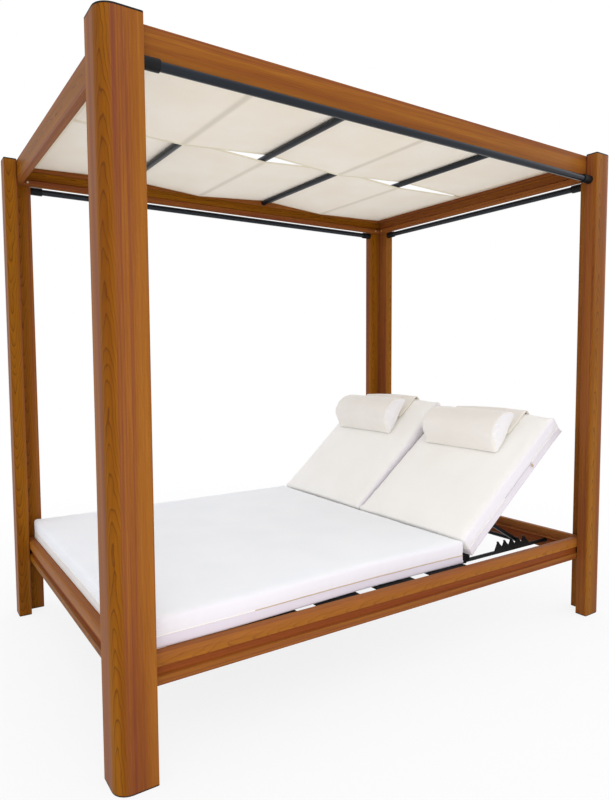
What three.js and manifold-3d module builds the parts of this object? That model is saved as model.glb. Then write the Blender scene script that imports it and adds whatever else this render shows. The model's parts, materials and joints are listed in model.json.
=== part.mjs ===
import * as THREE from "three";
import { mergeVertices } from "three/addons/utils/BufferGeometryUtils.js";
import Module from "manifold-3d";

// Outdoor daybed with a woven canopy: four corner posts, two closed rings of rails and two reclining backs.
// Millimetres, +Z up, +X toward the head end, +Y toward the right side, origin on the floor under the middle.

// Overall frame
const overallLength = 2184;
const overallWidth = 1526;
const overallHeight = 2000;
const fitGap = 0.3;

// Corner posts, an L-shaped hollow profile
const postLegSpan = 116;
const postLegDepth = 51;
const postOuterRadius = 45;
const postEdgeRadius = 5;
const postWall = 2.5;
const capThickness = 4.5;
const floorPlateThickness = 3;
const plugDepth = 14;
const plugEdgeRadius = 2;

// Top beams, measured inward from the plain outer face and up from the underside
const beamHeight = 91;
const beamTopDrop = 4.5;
const beamLipDepth = 25;
const beamLipHeight = 22;
const beamWebDepth = 14;
const beamWebFoot = 28;
const beamWebHead = 54;
const beamFlangeDepth = 45;
const beamFlangeFoot = 58;
const beamFlangeFillet = 4;
const beamWall = 2.5;
const beamEdgeRadius = 1.5;

// Bed rails, measured the same way
const railHeight = 91;
const railUnderside = 246;
const railDepth = 31;
const railLipHeight = 24;
const railGrooveDepth = 10;
const railGrooveFoot = 28;
const railGrooveHead = 50;
const railBeadFoot = 54;
const railBeadRadius = 10;
const railLedgeDepth = 45;
const railLedgeFoot = 52;
const railLedgeHead = 57;
const railWall = 2.5;
const railEdgeRadius = 1.5;
const mitreGap = 0.2;

// Curtain rods under the beams
const rodRadius = 13;
const rodWall = 1.5;
const rodInset = 33;
const socketRadius = 17;
const socketLength = 50;
const socketBase = 4;
const socketChamfer = 1;

// Shade bars and the two woven bands
const shadeBarRadius = 12.5;
const shadeBarWall = 1.5;
const shadeBarSeat = 13.5;
const shadeBarPlaceShares = [-0.5624, -0.1878, 0.1878, 0.5624];
const bandThickness = 2;
const bandClearance = 0.5;
const bandEndGap = 1;
const bandSideGap = 2;
const bandMiddleGap = 6;
const bandStarts = { left: -1, right: 1 };

// Deck boards under the seat mattress, on a strip along each side ledge
const deckRise = 33.7;
const boardThickness = 6;
const boardEdgeRadius = 1.5;
const firstBoardInset = 176;
const lastBoardGap = 46;
const boardShares = [
  [0, 0.3557],
  [0.4213, 0.5664],
  [0.632, 0.777],
  [0.8426, 1],
];
const deckStripWidth = 13;

// Seat mattress
const mattressFootInset = 81;
const mattressSideInset = 95;
const mattressHingeGap = 42;
const mattressThickness = 90;
const mattressRise = 0.5;
const mattressCrown = 4;
const padEdgeRadius = 22;
const padCornerRadius = 24;
const padCrownShare = 0.367;
const padSideSteps = 6;
const padDrawIn = 3.5;

// Reclining backs
const backReach = 742;
const hingeRise = 27;
const hingeTubeRadius = 9.5;
const hingeTubeWall = 2;
const hingeBossRadius = 12.5;
const hingeBossLength = 6;
const hingeBossGap = 1;
const leftRestDegrees = 38.7;
const rightRestDegrees = 42;
const backPlane = 12.7;
const sideBarOverhang = 45;
const sideBarWidth = 25;
const sideBarHeight = 20;
const sideBarHeadGap = 21.4;
const sideBarEdgeRadius = 2;
const barrelClearance = 0.4;
const knuckleFoot = 14;
const knuckleShoulder = 10;
const knuckleDrop = 32;
const knuckleFlatStart = 10;
const knuckleFlatEnd = 36;
const knuckleHead = 58;
const knuckleCornerRadius = 6;
const crossBarWidth = 25;
const lowerCrossBarStart = 60;
const backSlatWidth = 70;
const backSlatThickness = 4;
const backSlatCentreShares = [0.235, 0.47, 0.674, 0.862];
const propPivotShare = 0.3671;
const propAxleRadius = 6;

// Props that hold the backs up
const propLengthShare = 0.5223;
const propEyeRadius = 9.5;
const propEyeClearance = 0.4;
const propArmGap = 12;
const propArmWidth = 12;
const propArmHeight = 14;
const propFootRadius = 8;
const propFootGap = 1;

// Toothed racks
const rackOverhang = 131;
const rackThickness = 6;
const rackBarDrop = 39;
const rackBarHeight = 15;
const rackToothCount = 5;
const rackToothPitch = 44;
const rackFootToTip = 22;
const rackValleyRise = 10;
const rackToothTip = 8;
const rackBeakInset = 1.5;
const rackBeakDrop = 9;
const rackToothLean = 9;
const rackShoulder = 17;
const rackShoulderDrop = 12;
const rackRamp = 28;
const rackRampDrop = 22;
const rackToothBase = 34;
const rackEndRun = 14;
const rackSaddleHalf = 14;
const rackTabInset = 8;
const rackTabLength = 40;
const rackEndBossRadius = 11;
const rackEndBossLength = 9;

// Back cushions, bolsters and flaps
const cushionHeadInset = 54;
const cushionSideInset = 107;
const cushionMiddleGap = 4;
const cushionThickness = 90;
const cushionCrown = 4;
const cushionLift = 0.3;
const cushionFlatStart = -40;
const cushionTravelPerRadian = 95;
const bolsterHeadGap = 250;
const bolsterDepth = 187;
const bolsterHeight = 116;
const bolsterSideGap = 116;
const bolsterRise = 6;
const bolsterOffsets = { left: 20, right: 43 };
const bolsterEndCrown = 5;
const bolsterProfileShares = [
  [0.02, 0.0],
  [0.0, 0.2],
  [0.03, 0.5],
  [0.08, 0.72],
  [0.19, 0.9],
  [0.33, 0.975],
  [0.47, 1.0],
  [0.67, 0.955],
  [0.81, 0.84],
  [0.92, 0.7],
  [1.0, 0.5],
  [0.93, 0.42],
  [0.78, 0.37],
  [0.6, 0.27],
  [0.42, 0.14],
  [0.25, 0.05],
  [0.12, 0.0],
];
const bolsterEndInsets = [0, 6, 18, 40];
const bolsterEndShares = [0.86, 0.94, 0.985, 1];
const flapThickness = 3;
const flapFootGap = 116;
const flapLift = 14;
const flapSettleGap = 64;
const flapClearance = 0.6;
const flapDrop = 34;

// Facets of round shapes
const quarterTurn = Math.PI / 2;
const coarseSteps = 3;
const fineSteps = 8;
const tubeSegments = 28;

const halfLength = overallLength / 2;
const halfWidth = overallWidth / 2;
const ringInset = postLegDepth + fitGap;
const beamUnderside = overallHeight - beamTopDrop - beamHeight;
const ledgeTop = railUnderside + railLedgeHead;
const boardTop = ledgeTop + deckRise;
const boardUnderside = boardTop - boardThickness;
const rodAxisHeight = beamUnderside - rodRadius;
const shadeBarHeight = beamUnderside + beamFlangeFoot + shadeBarSeat;
const innerInset = ringInset + railDepth + fitGap;
const hingeX = halfLength - backReach;
const hingeHeight = ledgeTop + hingeRise;
const cushionLength = backReach - cushionHeadInset - cushionFlatStart;
const cushionWidth = halfWidth - cushionSideInset - cushionMiddleGap / 2;
const bolsterWidth = cushionWidth - 2 * bolsterSideGap;
const bolsterStart = cushionLength - bolsterHeadGap;
const flapStart = cushionLength - flapFootGap;
const flapSettle = cushionLength - flapSettleGap;
const backOffset = (cushionWidth + cushionMiddleGap) / 2;
const sideBarInner = cushionWidth / 2 - sideBarOverhang - sideBarWidth;
const sideBarLength = backReach - innerInset - sideBarHeadGap;
const propPivotReach = propPivotShare * sideBarLength;
const propLength = propLengthShare * sideBarLength;
const rackInner = cushionWidth / 2 - rackOverhang;
const rackBarHead = hingeHeight - rackBarDrop;
const rackBarFoot = rackBarHead - rackBarHeight;
const propArmOuter = rackInner - propArmGap;
const propFootHalfSpan = rackInner - propFootGap;
const propFootHeight = rackBarHead + rackValleyRise + propFootRadius + fitGap;

const wasm = await Module();
wasm.setup();

const daybed = new THREE.Group();
daybed.name = "outdoor_daybed_with_canopy";

// Materials

function material(name, colour, roughness, metalness) {
  const made = new THREE.MeshStandardMaterial({ color: colour, roughness, metalness });
  made.name = name;
  return made;
}

const woodAluminium = material("wood_effect_aluminium", 0x8f5a24, 0.4, 0.1);
const blackAluminium = material("black_coated_aluminium", 0x17191d, 0.35, 0.6);
const blackSteel = material("black_coated_steel", 0x141518, 0.45, 0.6);
const blackPlastic = material("black_nylon", 0x101012, 0.55, 0);
const bandFabric = material("cream_canopy_fabric", 0xddd5c3, 0.9, 0);
const mattressFabric = material("white_seat_fabric", 0xe6eaee, 0.9, 0);
const cushionFabric = material("ivory_back_fabric", 0xefede6, 0.9, 0);
const bolsterFabric = material("ivory_bolster_fabric", 0xe5dfd8, 0.9, 0);

function add(name, geometry, made) {
  const mesh = new THREE.Mesh(geometry, made);
  mesh.name = name;
  daybed.add(mesh);
}

// Outlines and solids

// Turns corners [x, y, radius] into a closed outline, each corner rounded by an arc that is tangent to both edges.
function roundedOutline(corners, steps) {
  const points = [];
  corners.forEach(([x, y, radius], index) => {
    const corner = new THREE.Vector2(x, y);
    const before = corners[(index + corners.length - 1) % corners.length];
    const after = corners[(index + 1) % corners.length];
    const toBefore = new THREE.Vector2(before[0], before[1]).sub(corner).normalize();
    const toAfter = new THREE.Vector2(after[0], after[1]).sub(corner).normalize();
    if (!radius) {
      points.push(corner);
      return;
    }
    const half = Math.acos(toBefore.dot(toAfter)) / 2;
    const bisector = toBefore.clone().add(toAfter).normalize();
    const centre = corner.clone().addScaledVector(bisector, radius / Math.sin(half));
    const start = corner.clone().addScaledVector(toBefore, radius / Math.tan(half)).sub(centre);
    const turn = Math.sign(toBefore.cross(toAfter)) * (Math.PI - 2 * half);
    for (let step = 0; step <= steps; step += 1) {
      const arm = start.clone().rotateAround(new THREE.Vector2(), (-turn * step) / steps);
      points.push(centre.clone().add(arm));
    }
  });
  return points;
}

function circle(centreX, centreY, radius, segments = tubeSegments) {
  const points = [];
  for (let step = 0; step < segments; step += 1) {
    const angle = (2 * Math.PI * step) / segments;
    points.push(new THREE.Vector2(centreX + radius * Math.cos(angle), centreY + radius * Math.sin(angle)));
  }
  return points;
}

function rectangle(x0, y0, x1, y1, radius) {
  return [
    [x0, y0, radius],
    [x1, y0, radius],
    [x1, y1, radius],
    [x0, y1, radius],
  ];
}

function extrusion(outline, holes, depth) {
  const turned = THREE.ShapeUtils.isClockWise(outline) ? [...outline].reverse() : outline;
  const shape = new THREE.Shape(turned);
  shape.holes = holes.map((hole) => new THREE.Path(hole));
  return new THREE.ExtrudeGeometry(shape, { depth, bevelEnabled: false });
}

// The drawing plane becomes Y-Z and the depth runs along +X.
function alongX(geometry, startX) {
  const basis = new THREE.Matrix4().makeBasis(
    new THREE.Vector3(0, 1, 0),
    new THREE.Vector3(0, 0, 1),
    new THREE.Vector3(1, 0, 0),
  );
  return geometry.applyMatrix4(basis.setPosition(startX, 0, 0));
}

// The drawing plane becomes X-Z and the depth runs from the given Y toward -Y.
function alongY(geometry, endY) {
  const basis = new THREE.Matrix4().makeBasis(
    new THREE.Vector3(1, 0, 0),
    new THREE.Vector3(0, 0, 1),
    new THREE.Vector3(0, -1, 0),
  );
  return geometry.applyMatrix4(basis.setPosition(0, endY, 0));
}

function box(x0, x1, y0, y1, z0, z1) {
  const made = new THREE.BoxGeometry(x1 - x0, y1 - y0, z1 - z0);
  return made.translate((x0 + x1) / 2, (y0 + y1) / 2, (z0 + z1) / 2);
}

function cylinderAlongY(x, z, radius, y0, y1) {
  return alongY(extrusion(circle(x, z, radius), [], y1 - y0), y1);
}

function solid(geometry) {
  const plain = new THREE.BufferGeometry();
  const source = geometry.index ? geometry.toNonIndexed() : geometry;
  plain.setAttribute("position", source.getAttribute("position"));
  const merged = mergeVertices(plain);
  return new wasm.Manifold(
    new wasm.Mesh({
      numProp: 3,
      vertProperties: new Float32Array(merged.getAttribute("position").array),
      triVerts: new Uint32Array(merged.index.array),
    }),
  );
}

function union(geometries) {
  return geometries.map(solid).reduce((whole, piece) => whole.add(piece));
}

function geometryOf(manifold) {
  const mesh = manifold.getMesh();
  const indexed = new THREE.BufferGeometry();
  indexed.setAttribute("position", new THREE.BufferAttribute(new Float32Array(mesh.vertProperties), 3));
  indexed.setIndex(new THREE.BufferAttribute(new Uint32Array(mesh.triVerts), 1));
  const made = indexed.toNonIndexed();
  made.computeVertexNormals();
  return made;
}

// Corner posts

function postOutline(signX, signY, inset) {
  const near = inset;
  const far = postLegSpan - inset;
  const depth = postLegDepth - inset;
  const outer = postOuterRadius - inset;
  const edge = inset ? plugEdgeRadius : postEdgeRadius;
  const corners = [
    [near, near, outer],
    [far, near, edge],
    [far, depth, edge],
    [depth, depth, 0],
    [depth, far, edge],
    [near, far, edge],
  ];
  const placed = corners.map(([x, y, radius]) => [signX * (halfLength - x), signY * (halfWidth - y), radius]);
  return roundedOutline(placed, fineSteps);
}

function endPiece(signX, signY, plateZ, plateThickness, plugZ) {
  const plate = extrusion(postOutline(signX, signY, 0), [], plateThickness).translate(0, 0, plateZ);
  const plugInset = postWall + fitGap;
  const plug = extrusion(postOutline(signX, signY, plugInset), [], plugDepth).translate(0, 0, plugZ);
  return geometryOf(union([plate, plug]));
}

function addCorner(name, signX, signY) {
  const postFoot = floorPlateThickness + fitGap;
  const postHead = overallHeight - capThickness - fitGap;
  const hollow = postOutline(signX, signY, postWall);
  const post = extrusion(postOutline(signX, signY, 0), [hollow], postHead - postFoot);
  add(`post_${name}`, post.translate(0, 0, postFoot), woodAluminium);
  const capFoot = overallHeight - capThickness;
  const cap = endPiece(signX, signY, capFoot, capThickness, overallHeight - plugDepth - fitGap);
  add(`post_cap_${name}`, cap, blackPlastic);
  const plate = endPiece(signX, signY, 0, floorPlateThickness, fitGap);
  add(`floor_plate_${name}`, plate, blackPlastic);
}

// Rings of mitred bars

// A bar of the ring whose plain outer face turns to the outside; side 0 is left, then head, right and foot.
function ringBar(outline, holes, underside, side) {
  const across = side % 2 === 0 ? halfWidth : halfLength;
  const along = side % 2 === 0 ? halfLength : halfWidth;
  const span = 2 * (along - ringInset);
  const geometry = extrusion(outline, holes, span);
  const position = geometry.getAttribute("position");
  for (let index = 0; index < position.count; index += 1) {
    const inset = position.getX(index) + mitreGap;
    const atEnd = position.getZ(index) > span / 2;
    position.setZ(index, atEnd ? span - inset : inset);
  }
  alongX(geometry, ringInset - along).translate(0, ringInset - across, underside);
  geometry.rotateZ(side * quarterTurn);
  geometry.computeVertexNormals();
  return geometry;
}

function beamOutline() {
  return roundedOutline(
    [
      [0, 0, beamEdgeRadius],
      [beamLipDepth, 0, beamEdgeRadius],
      [beamLipDepth, beamLipHeight, beamEdgeRadius],
      [beamWebDepth, beamWebFoot, beamEdgeRadius],
      [beamWebDepth, beamWebHead, 0],
      [beamWebDepth + beamFlangeFillet, beamFlangeFoot, 0],
      [beamFlangeDepth, beamFlangeFoot, beamEdgeRadius],
      [beamFlangeDepth, beamHeight, beamEdgeRadius],
      [0, beamHeight, beamEdgeRadius],
    ],
    coarseSteps,
  );
}

function beamHollow() {
  return roundedOutline(
    [
      [beamWall, beamWall, 0],
      [beamLipDepth - beamWall, beamWall, 0],
      [beamLipDepth - beamWall, beamLipHeight - beamWall, 0],
      [beamWebDepth - beamWall, beamWebFoot - beamWall, 0],
      [beamWebDepth - beamWall, beamFlangeFoot + beamWall, 0],
      [beamFlangeDepth - beamWall, beamFlangeFoot + beamWall, 0],
      [beamFlangeDepth - beamWall, beamHeight - beamWall, 0],
      [beamWall, beamHeight - beamWall, 0],
    ],
    coarseSteps,
  );
}

function railOutline() {
  return roundedOutline(
    [
      [0, 0, railEdgeRadius],
      [railDepth, 0, railEdgeRadius],
      [railDepth, railLedgeFoot, 0],
      [railLedgeDepth, railLedgeFoot, 0],
      [railLedgeDepth, railLedgeHead, 0],
      [railDepth, railLedgeHead, 0],
      [railDepth, railHeight, railEdgeRadius],
      [0, railHeight, railBeadRadius],
      [0, railBeadFoot, railEdgeRadius],
      [railGrooveDepth, railGrooveHead, 0],
      [railGrooveDepth, railGrooveFoot, 0],
      [0, railLipHeight, railEdgeRadius],
    ],
    coarseSteps,
  );
}

function railHollow() {
  const inner = railDepth - railWall;
  return roundedOutline(
    [
      [railWall, railWall, 0],
      [inner, railWall, 0],
      [inner, railHeight - railWall, 0],
      [railWall, railHeight - railWall, railBeadRadius - railWall],
      [railWall, railBeadFoot + railWall, 0],
      [railGrooveDepth + railWall, railGrooveHead, 0],
      [railGrooveDepth + railWall, railGrooveFoot, 0],
      [railWall, railLipHeight - railWall, 0],
    ],
    coarseSteps,
  );
}

// Curtain rods and their sockets

function tube(radius, wall, span) {
  return extrusion(circle(0, 0, radius), [circle(0, 0, radius - wall)], span);
}

function socket() {
  const bore = rodRadius + fitGap;
  const profile = [
    [0, 0],
    [socketRadius, 0],
    [socketRadius, socketLength - socketChamfer],
    [socketRadius - socketChamfer, socketLength],
    [bore, socketLength],
    [bore, socketBase],
    [0, socketBase],
  ];
  const points = profile.map(([radius, height]) => new THREE.Vector2(radius, height));
  return new THREE.LatheGeometry(points, tubeSegments).rotateZ(-quarterTurn);
}

function addRod(name, side) {
  const along = side % 2 === 0 ? halfLength : halfWidth;
  const across = side % 2 === 0 ? halfWidth : halfLength;
  const reach = along - postLegSpan - fitGap;
  const rodReach = reach - socketBase - fitGap;
  const axisY = rodInset - across;
  const rod = alongX(tube(rodRadius, rodWall, 2 * rodReach), -rodReach).translate(0, axisY, rodAxisHeight);
  add(`curtain_rod_${name}`, rod.rotateZ(side * quarterTurn), blackAluminium);
  const first = socket().translate(-reach, axisY, rodAxisHeight);
  add(`rod_socket_${name}_a`, first.rotateZ(side * quarterTurn), blackPlastic);
  const second = socket().rotateZ(2 * quarterTurn).translate(reach, axisY, rodAxisHeight);
  add(`rod_socket_${name}_b`, second.rotateZ(side * quarterTurn), blackPlastic);
}

// Canopy

const flangeInset = ringInset + beamFlangeDepth;
const shadeBarPlaces = shadeBarPlaceShares.map((share) => share * (halfLength - flangeInset));

function addShadeBars() {
  const reach = halfWidth - flangeInset - fitGap;
  shadeBarPlaces.forEach((x, index) => {
    const bar = tube(shadeBarRadius, shadeBarWall, 2 * reach);
    add(`shade_bar_${index + 1}`, alongY(bar, reach).translate(x, 0, shadeBarHeight), blackAluminium);
  });
}

// A band that passes under and over the bars in turn, its first pass on the side given by the sign.
function shadeBand(firstSide, y0, y1) {
  const reach = halfLength - flangeInset - bandEndGap;
  const swing = shadeBarRadius + bandClearance + bandThickness / 2;
  const line = [new THREE.Vector2(-reach, shadeBarHeight)];
  shadeBarPlaces.forEach((x, index) => {
    const side = firstSide * (index % 2 === 0 ? 1 : -1);
    line.push(new THREE.Vector2(x, shadeBarHeight + side * swing));
  });
  line.push(new THREE.Vector2(reach, shadeBarHeight));
  const shift = new THREE.Vector2(0, bandThickness / 2);
  const below = line.map((point) => point.clone().sub(shift));
  const above = line.map((point) => point.clone().add(shift)).reverse();
  return alongY(extrusion([...below, ...above], [], y1 - y0), y1);
}

function addShadeBands() {
  const outer = halfWidth - flangeInset - bandSideGap;
  const inner = bandMiddleGap / 2;
  add("shade_band_left", shadeBand(bandStarts.left, -outer, -inner), bandFabric);
  add("shade_band_right", shadeBand(bandStarts.right, inner, outer), bandFabric);
}

// Deck

function addBoards() {
  const reach = halfWidth - innerInset;
  const deckFoot = firstBoardInset - halfLength;
  const deckLength = hingeX - lastBoardGap - deckFoot;
  boardShares.forEach(([from, to], index) => {
    const x0 = deckFoot + from * deckLength;
    const x1 = deckFoot + to * deckLength;
    const outline = rectangle(x0, boardUnderside, x1, boardTop, boardEdgeRadius);
    const board = extrusion(roundedOutline(outline, coarseSteps), [], 2 * reach);
    add(`deck_board_${index + 1}`, alongY(board, reach), blackAluminium);
  });
  const stripHead = boardUnderside - fitGap;
  [
    ["left", -reach, deckStripWidth - reach],
    ["right", reach - deckStripWidth, reach],
  ].forEach(([name, y0, y1]) => {
    const strip = box(deckFoot, deckFoot + deckLength, y0, y1, ledgeTop + fitGap, stripHead);
    add(`deck_strip_${name}`, geometryOf(solid(strip)), blackPlastic);
  });
}

// Adds evenly spaced points to the straight runs of an outline.
function withSidePoints(outline) {
  const longest = Math.max(...outline.map((point, index) => point.distanceTo(outline[(index + 1) % outline.length])));
  return outline.flatMap((point, index) => {
    const next = outline[(index + 1) % outline.length];
    const isSide = point.distanceTo(next) > longest / padSideSteps;
    const steps = isSide ? padSideSteps : 1;
    return Array.from({ length: steps }, (unused, step) => point.clone().lerp(next, step / steps));
  });
}

// Pulls the sides in between the corners, most at the middle of each side.
function drawnIn(point, spanX, spanY) {
  const shareX = (2 * point.x) / spanX;
  const shareY = (2 * point.y) / spanY;
  const pullX = padDrawIn * shareX * (1 - shareY ** 2);
  const pullY = padDrawIn * shareY * (1 - shareX ** 2);
  return new THREE.Vector2(point.x - pullX, point.y - pullY);
}

// Padded forms: rounded edges, drawn-in sides, a flat underside and a crowned top, resting on the plane Z = 0.
function pad(spanX, spanY, thickness, crown) {
  const rings = [];
  for (let step = 0; step <= coarseSteps; step += 1) {
    const angle = (quarterTurn * step) / coarseSteps;
    const inset = padEdgeRadius * (1 - Math.sin(angle));
    rings.push({ inset, height: padEdgeRadius * (1 - Math.cos(angle)) });
  }
  for (let step = 0; step <= coarseSteps; step += 1) {
    const angle = (quarterTurn * step) / coarseSteps;
    const inset = padEdgeRadius * (1 - Math.cos(angle));
    rings.push({ inset, height: thickness - padEdgeRadius * (1 - Math.sin(angle)) });
  }
  const crownInset = padCrownShare * Math.min(spanX, spanY);
  for (let step = 1; step <= coarseSteps; step += 1) {
    const share = step / coarseSteps;
    const inset = padEdgeRadius + (crownInset - padEdgeRadius) * share;
    rings.push({ inset, height: thickness + crown * (1 - (1 - share) ** 2) });
  }
  const loops = rings.map(({ inset, height }) => {
    const half = { x: spanX / 2 - inset, y: spanY / 2 - inset };
    const outline = roundedOutline(rectangle(-half.x, -half.y, half.x, half.y, padCornerRadius), coarseSteps);
    return withSidePoints(outline).map((point) => {
      const placed = drawnIn(point, spanX, spanY);
      return new THREE.Vector3(placed.x, placed.y, height);
    });
  });
  return lofted(loops, new THREE.Vector3(0, 0, 0), new THREE.Vector3(0, 0, thickness + crown));
}

// Skins a stack of equally long loops and closes both ends with fans.
function lofted(loops, firstTip, lastTip) {
  const count = loops[0].length;
  const positions = [];
  const indices = [];
  loops.flat().forEach((point) => positions.push(point.x, point.y, point.z));
  const firstIndex = loops.length * count;
  positions.push(firstTip.x, firstTip.y, firstTip.z, lastTip.x, lastTip.y, lastTip.z);
  for (let place = 0; place < count; place += 1) {
    const next = (place + 1) % count;
    indices.push(firstIndex, next, place);
    for (let ring = 0; ring < loops.length - 1; ring += 1) {
      const low = ring * count;
      const high = low + count;
      indices.push(low + place, low + next, high + next, low + place, high + next, high + place);
    }
    const last = (loops.length - 1) * count;
    indices.push(last + place, last + next, firstIndex + 1);
  }
  const geometry = new THREE.BufferGeometry();
  geometry.setAttribute("position", new THREE.Float32BufferAttribute(positions, 3));
  geometry.setIndex(indices);
  geometry.computeVertexNormals();
  return geometry;
}

function addMattress() {
  const x0 = mattressFootInset - halfLength;
  const x1 = hingeX - mattressHingeGap;
  const width = 2 * (halfWidth - mattressSideInset);
  const geometry = pad(x1 - x0, width, mattressThickness, mattressCrown);
  add("seat_mattress", geometry.translate((x0 + x1) / 2, 0, boardTop + mattressRise), mattressFabric);
}

// Hinge tube, a thin tube with a thicker boss at each end

function addHingeTube() {
  const reach = backOffset + sideBarInner + sideBarWidth + hingeBossGap + hingeBossLength;
  const bore = hingeTubeRadius - hingeTubeWall;
  const profile = [
    [bore, -reach],
    [hingeBossRadius, -reach],
    [hingeBossRadius, hingeBossLength - reach],
    [hingeTubeRadius, hingeBossLength - reach],
    [hingeTubeRadius, reach - hingeBossLength],
    [hingeBossRadius, reach - hingeBossLength],
    [hingeBossRadius, reach],
    [bore, reach],
    [bore, -reach],
  ];
  const points = profile.map(([radius, height]) => new THREE.Vector2(radius, height));
  const geometry = new THREE.LatheGeometry(points, tubeSegments).translate(hingeX, 0, hingeHeight);
  add("hinge_tube", geometry, blackSteel);
}

// Racks

function rackOutline(footX) {
  const headFace = halfLength - innerInset;
  const valley = rackBarHead + rackValleyRise;
  const tabHead = hingeX - lastBoardGap - rackTabInset;
  const tabTop = boardUnderside - fitGap;
  const lastTip = footX + rackFootToTip;
  const points = [
    [tabHead - rackTabLength, rackBarFoot],
    [headFace, rackBarFoot],
    [headFace, rackBarHead],
    [lastTip + rackToothBase + rackEndRun, rackBarHead],
  ];
  for (let index = 0; index < rackToothCount; index += 1) {
    const tip = lastTip - index * rackToothPitch;
    points.push([tip + rackToothBase, valley]);
    points.push([tip + rackRamp, hingeHeight - rackRampDrop]);
    points.push([tip + rackShoulder, hingeHeight - rackShoulderDrop]);
    points.push([tip + rackToothTip, hingeHeight]);
    points.push([tip, hingeHeight]);
    points.push([tip + rackBeakInset, hingeHeight - rackBeakDrop]);
    points.push([tip - rackToothLean, valley]);
  }
  const firstTip = lastTip - (rackToothCount - 1) * rackToothPitch;
  points.push([firstTip - rackEndRun, rackBarHead]);
  points.push([hingeX + rackSaddleHalf, rackBarHead]);
  points.push([hingeX + rackSaddleHalf, hingeHeight]);
  points.push([hingeX - rackSaddleHalf, hingeHeight]);
  points.push([hingeX - rackSaddleHalf, rackBarHead]);
  points.push([tabHead, rackBarHead]);
  points.push([tabHead, tabTop]);
  points.push([tabHead - rackTabLength, tabTop]);
  return points.map(([x, z]) => new THREE.Vector2(x, z));
}

function rack(centreY, sign, footX) {
  const middle = centreY + sign * (rackInner + rackThickness / 2);
  const plate = alongY(extrusion(rackOutline(footX), [], rackThickness), middle + rackThickness / 2);
  const bossStart = halfLength - innerInset - rackEndBossLength;
  const bossHeight = rackBarHead - rackBarHeight / 2;
  const boss = alongX(extrusion(circle(middle, bossHeight, rackEndBossRadius), [], rackEndBossLength), bossStart);
  const seatRadius = hingeTubeRadius + fitGap;
  const seat = cylinderAlongY(hingeX, hingeHeight, seatRadius, middle - rackThickness, middle + rackThickness);
  return geometryOf(union([plate, boss]).subtract(solid(seat)));
}

// Backs: the frame, its prop, the cushion with bolster and flap

function restMatrix(restAngle, centreY) {
  const along = new THREE.Vector3(Math.cos(restAngle), 0, Math.sin(restAngle));
  const out = new THREE.Vector3(-Math.sin(restAngle), 0, Math.cos(restAngle));
  const basis = new THREE.Matrix4().makeBasis(along, new THREE.Vector3(0, 1, 0), out);
  return basis.setPosition(hingeX, centreY, hingeHeight);
}

// Drawn lying flat: X runs from the hinge axis to the top end, Z out of the cushion side.
// The plate at the lower end of each side bar that turns on the hinge tube.
function knuckleCorners(floor) {
  return [
    [-knuckleFoot, -knuckleShoulder, knuckleCornerRadius],
    [knuckleFlatStart, -knuckleDrop, knuckleCornerRadius],
    [knuckleFlatEnd, -knuckleDrop, knuckleCornerRadius],
    [knuckleHead, floor, 0],
    [knuckleHead, backPlane, 0],
    [-knuckleFoot, backPlane, sideBarEdgeRadius],
  ];
}

function backFrame() {
  const floor = backPlane - sideBarHeight;
  const outer = sideBarInner + sideBarWidth;
  const sideSection = roundedOutline(rectangle(sideBarInner, floor, outer, backPlane, sideBarEdgeRadius), coarseSteps);
  const mirrored = roundedOutline(rectangle(-outer, floor, -sideBarInner, backPlane, sideBarEdgeRadius), coarseSteps);
  const barStart = hingeTubeRadius + barrelClearance;
  const barLength = sideBarLength - barStart;
  const knuckle = extrusion(roundedOutline(knuckleCorners(floor), coarseSteps), [], sideBarWidth);
  const pieces = [
    alongX(extrusion(sideSection, [], barLength), barStart),
    alongX(extrusion(mirrored, [], barLength), barStart),
    alongY(knuckle.clone(), outer),
    alongY(knuckle, -sideBarInner),
    cylinderAlongY(propPivotReach, 0, propAxleRadius, -outer + sideBarEdgeRadius, outer - sideBarEdgeRadius),
  ];
  const inner = sideBarInner + sideBarEdgeRadius;
  [lowerCrossBarStart, sideBarLength - crossBarWidth].forEach((start) => {
    pieces.push(box(start, start + crossBarWidth, -inner, inner, floor, backPlane));
  });
  backSlatCentreShares.forEach((share) => {
    const centre = share * sideBarLength;
    const half = backSlatWidth / 2;
    const slatFloor = backPlane - backSlatThickness;
    pieces.push(box(centre - half, centre + half, -inner, inner, slatFloor, backPlane));
  });
  const bore = cylinderAlongY(0, 0, hingeTubeRadius + barrelClearance, -outer - knuckleDrop, outer + knuckleDrop);
  return union(pieces).subtract(solid(bore));
}

// Drawn from the pivot, with the foot end along +X.
function prop() {
  const inner = propArmOuter - propArmWidth;
  const half = propArmHeight / 2;
  const pieces = [cylinderAlongY(propLength, 0, propFootRadius, -propFootHalfSpan, propFootHalfSpan)];
  [
    [inner, propArmOuter],
    [-propArmOuter, -inner],
  ].forEach(([y0, y1]) => {
    pieces.push(box(0, propLength, y0, y1, -half, half));
    pieces.push(cylinderAlongY(0, 0, propEyeRadius, y0, y1));
  });
  const bore = propAxleRadius + propEyeClearance;
  const cut = cylinderAlongY(0, 0, bore, -propFootHalfSpan, propFootHalfSpan);
  return geometryOf(union(pieces).subtract(solid(cut)));
}

// The angle below level at which the prop's foot stands on the racks while the back rests at the given angle.
function propFall(restAngle) {
  const drop = hingeHeight + propPivotReach * Math.sin(restAngle) - propFootHeight;
  return Math.asin(drop / propLength);
}

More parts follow.
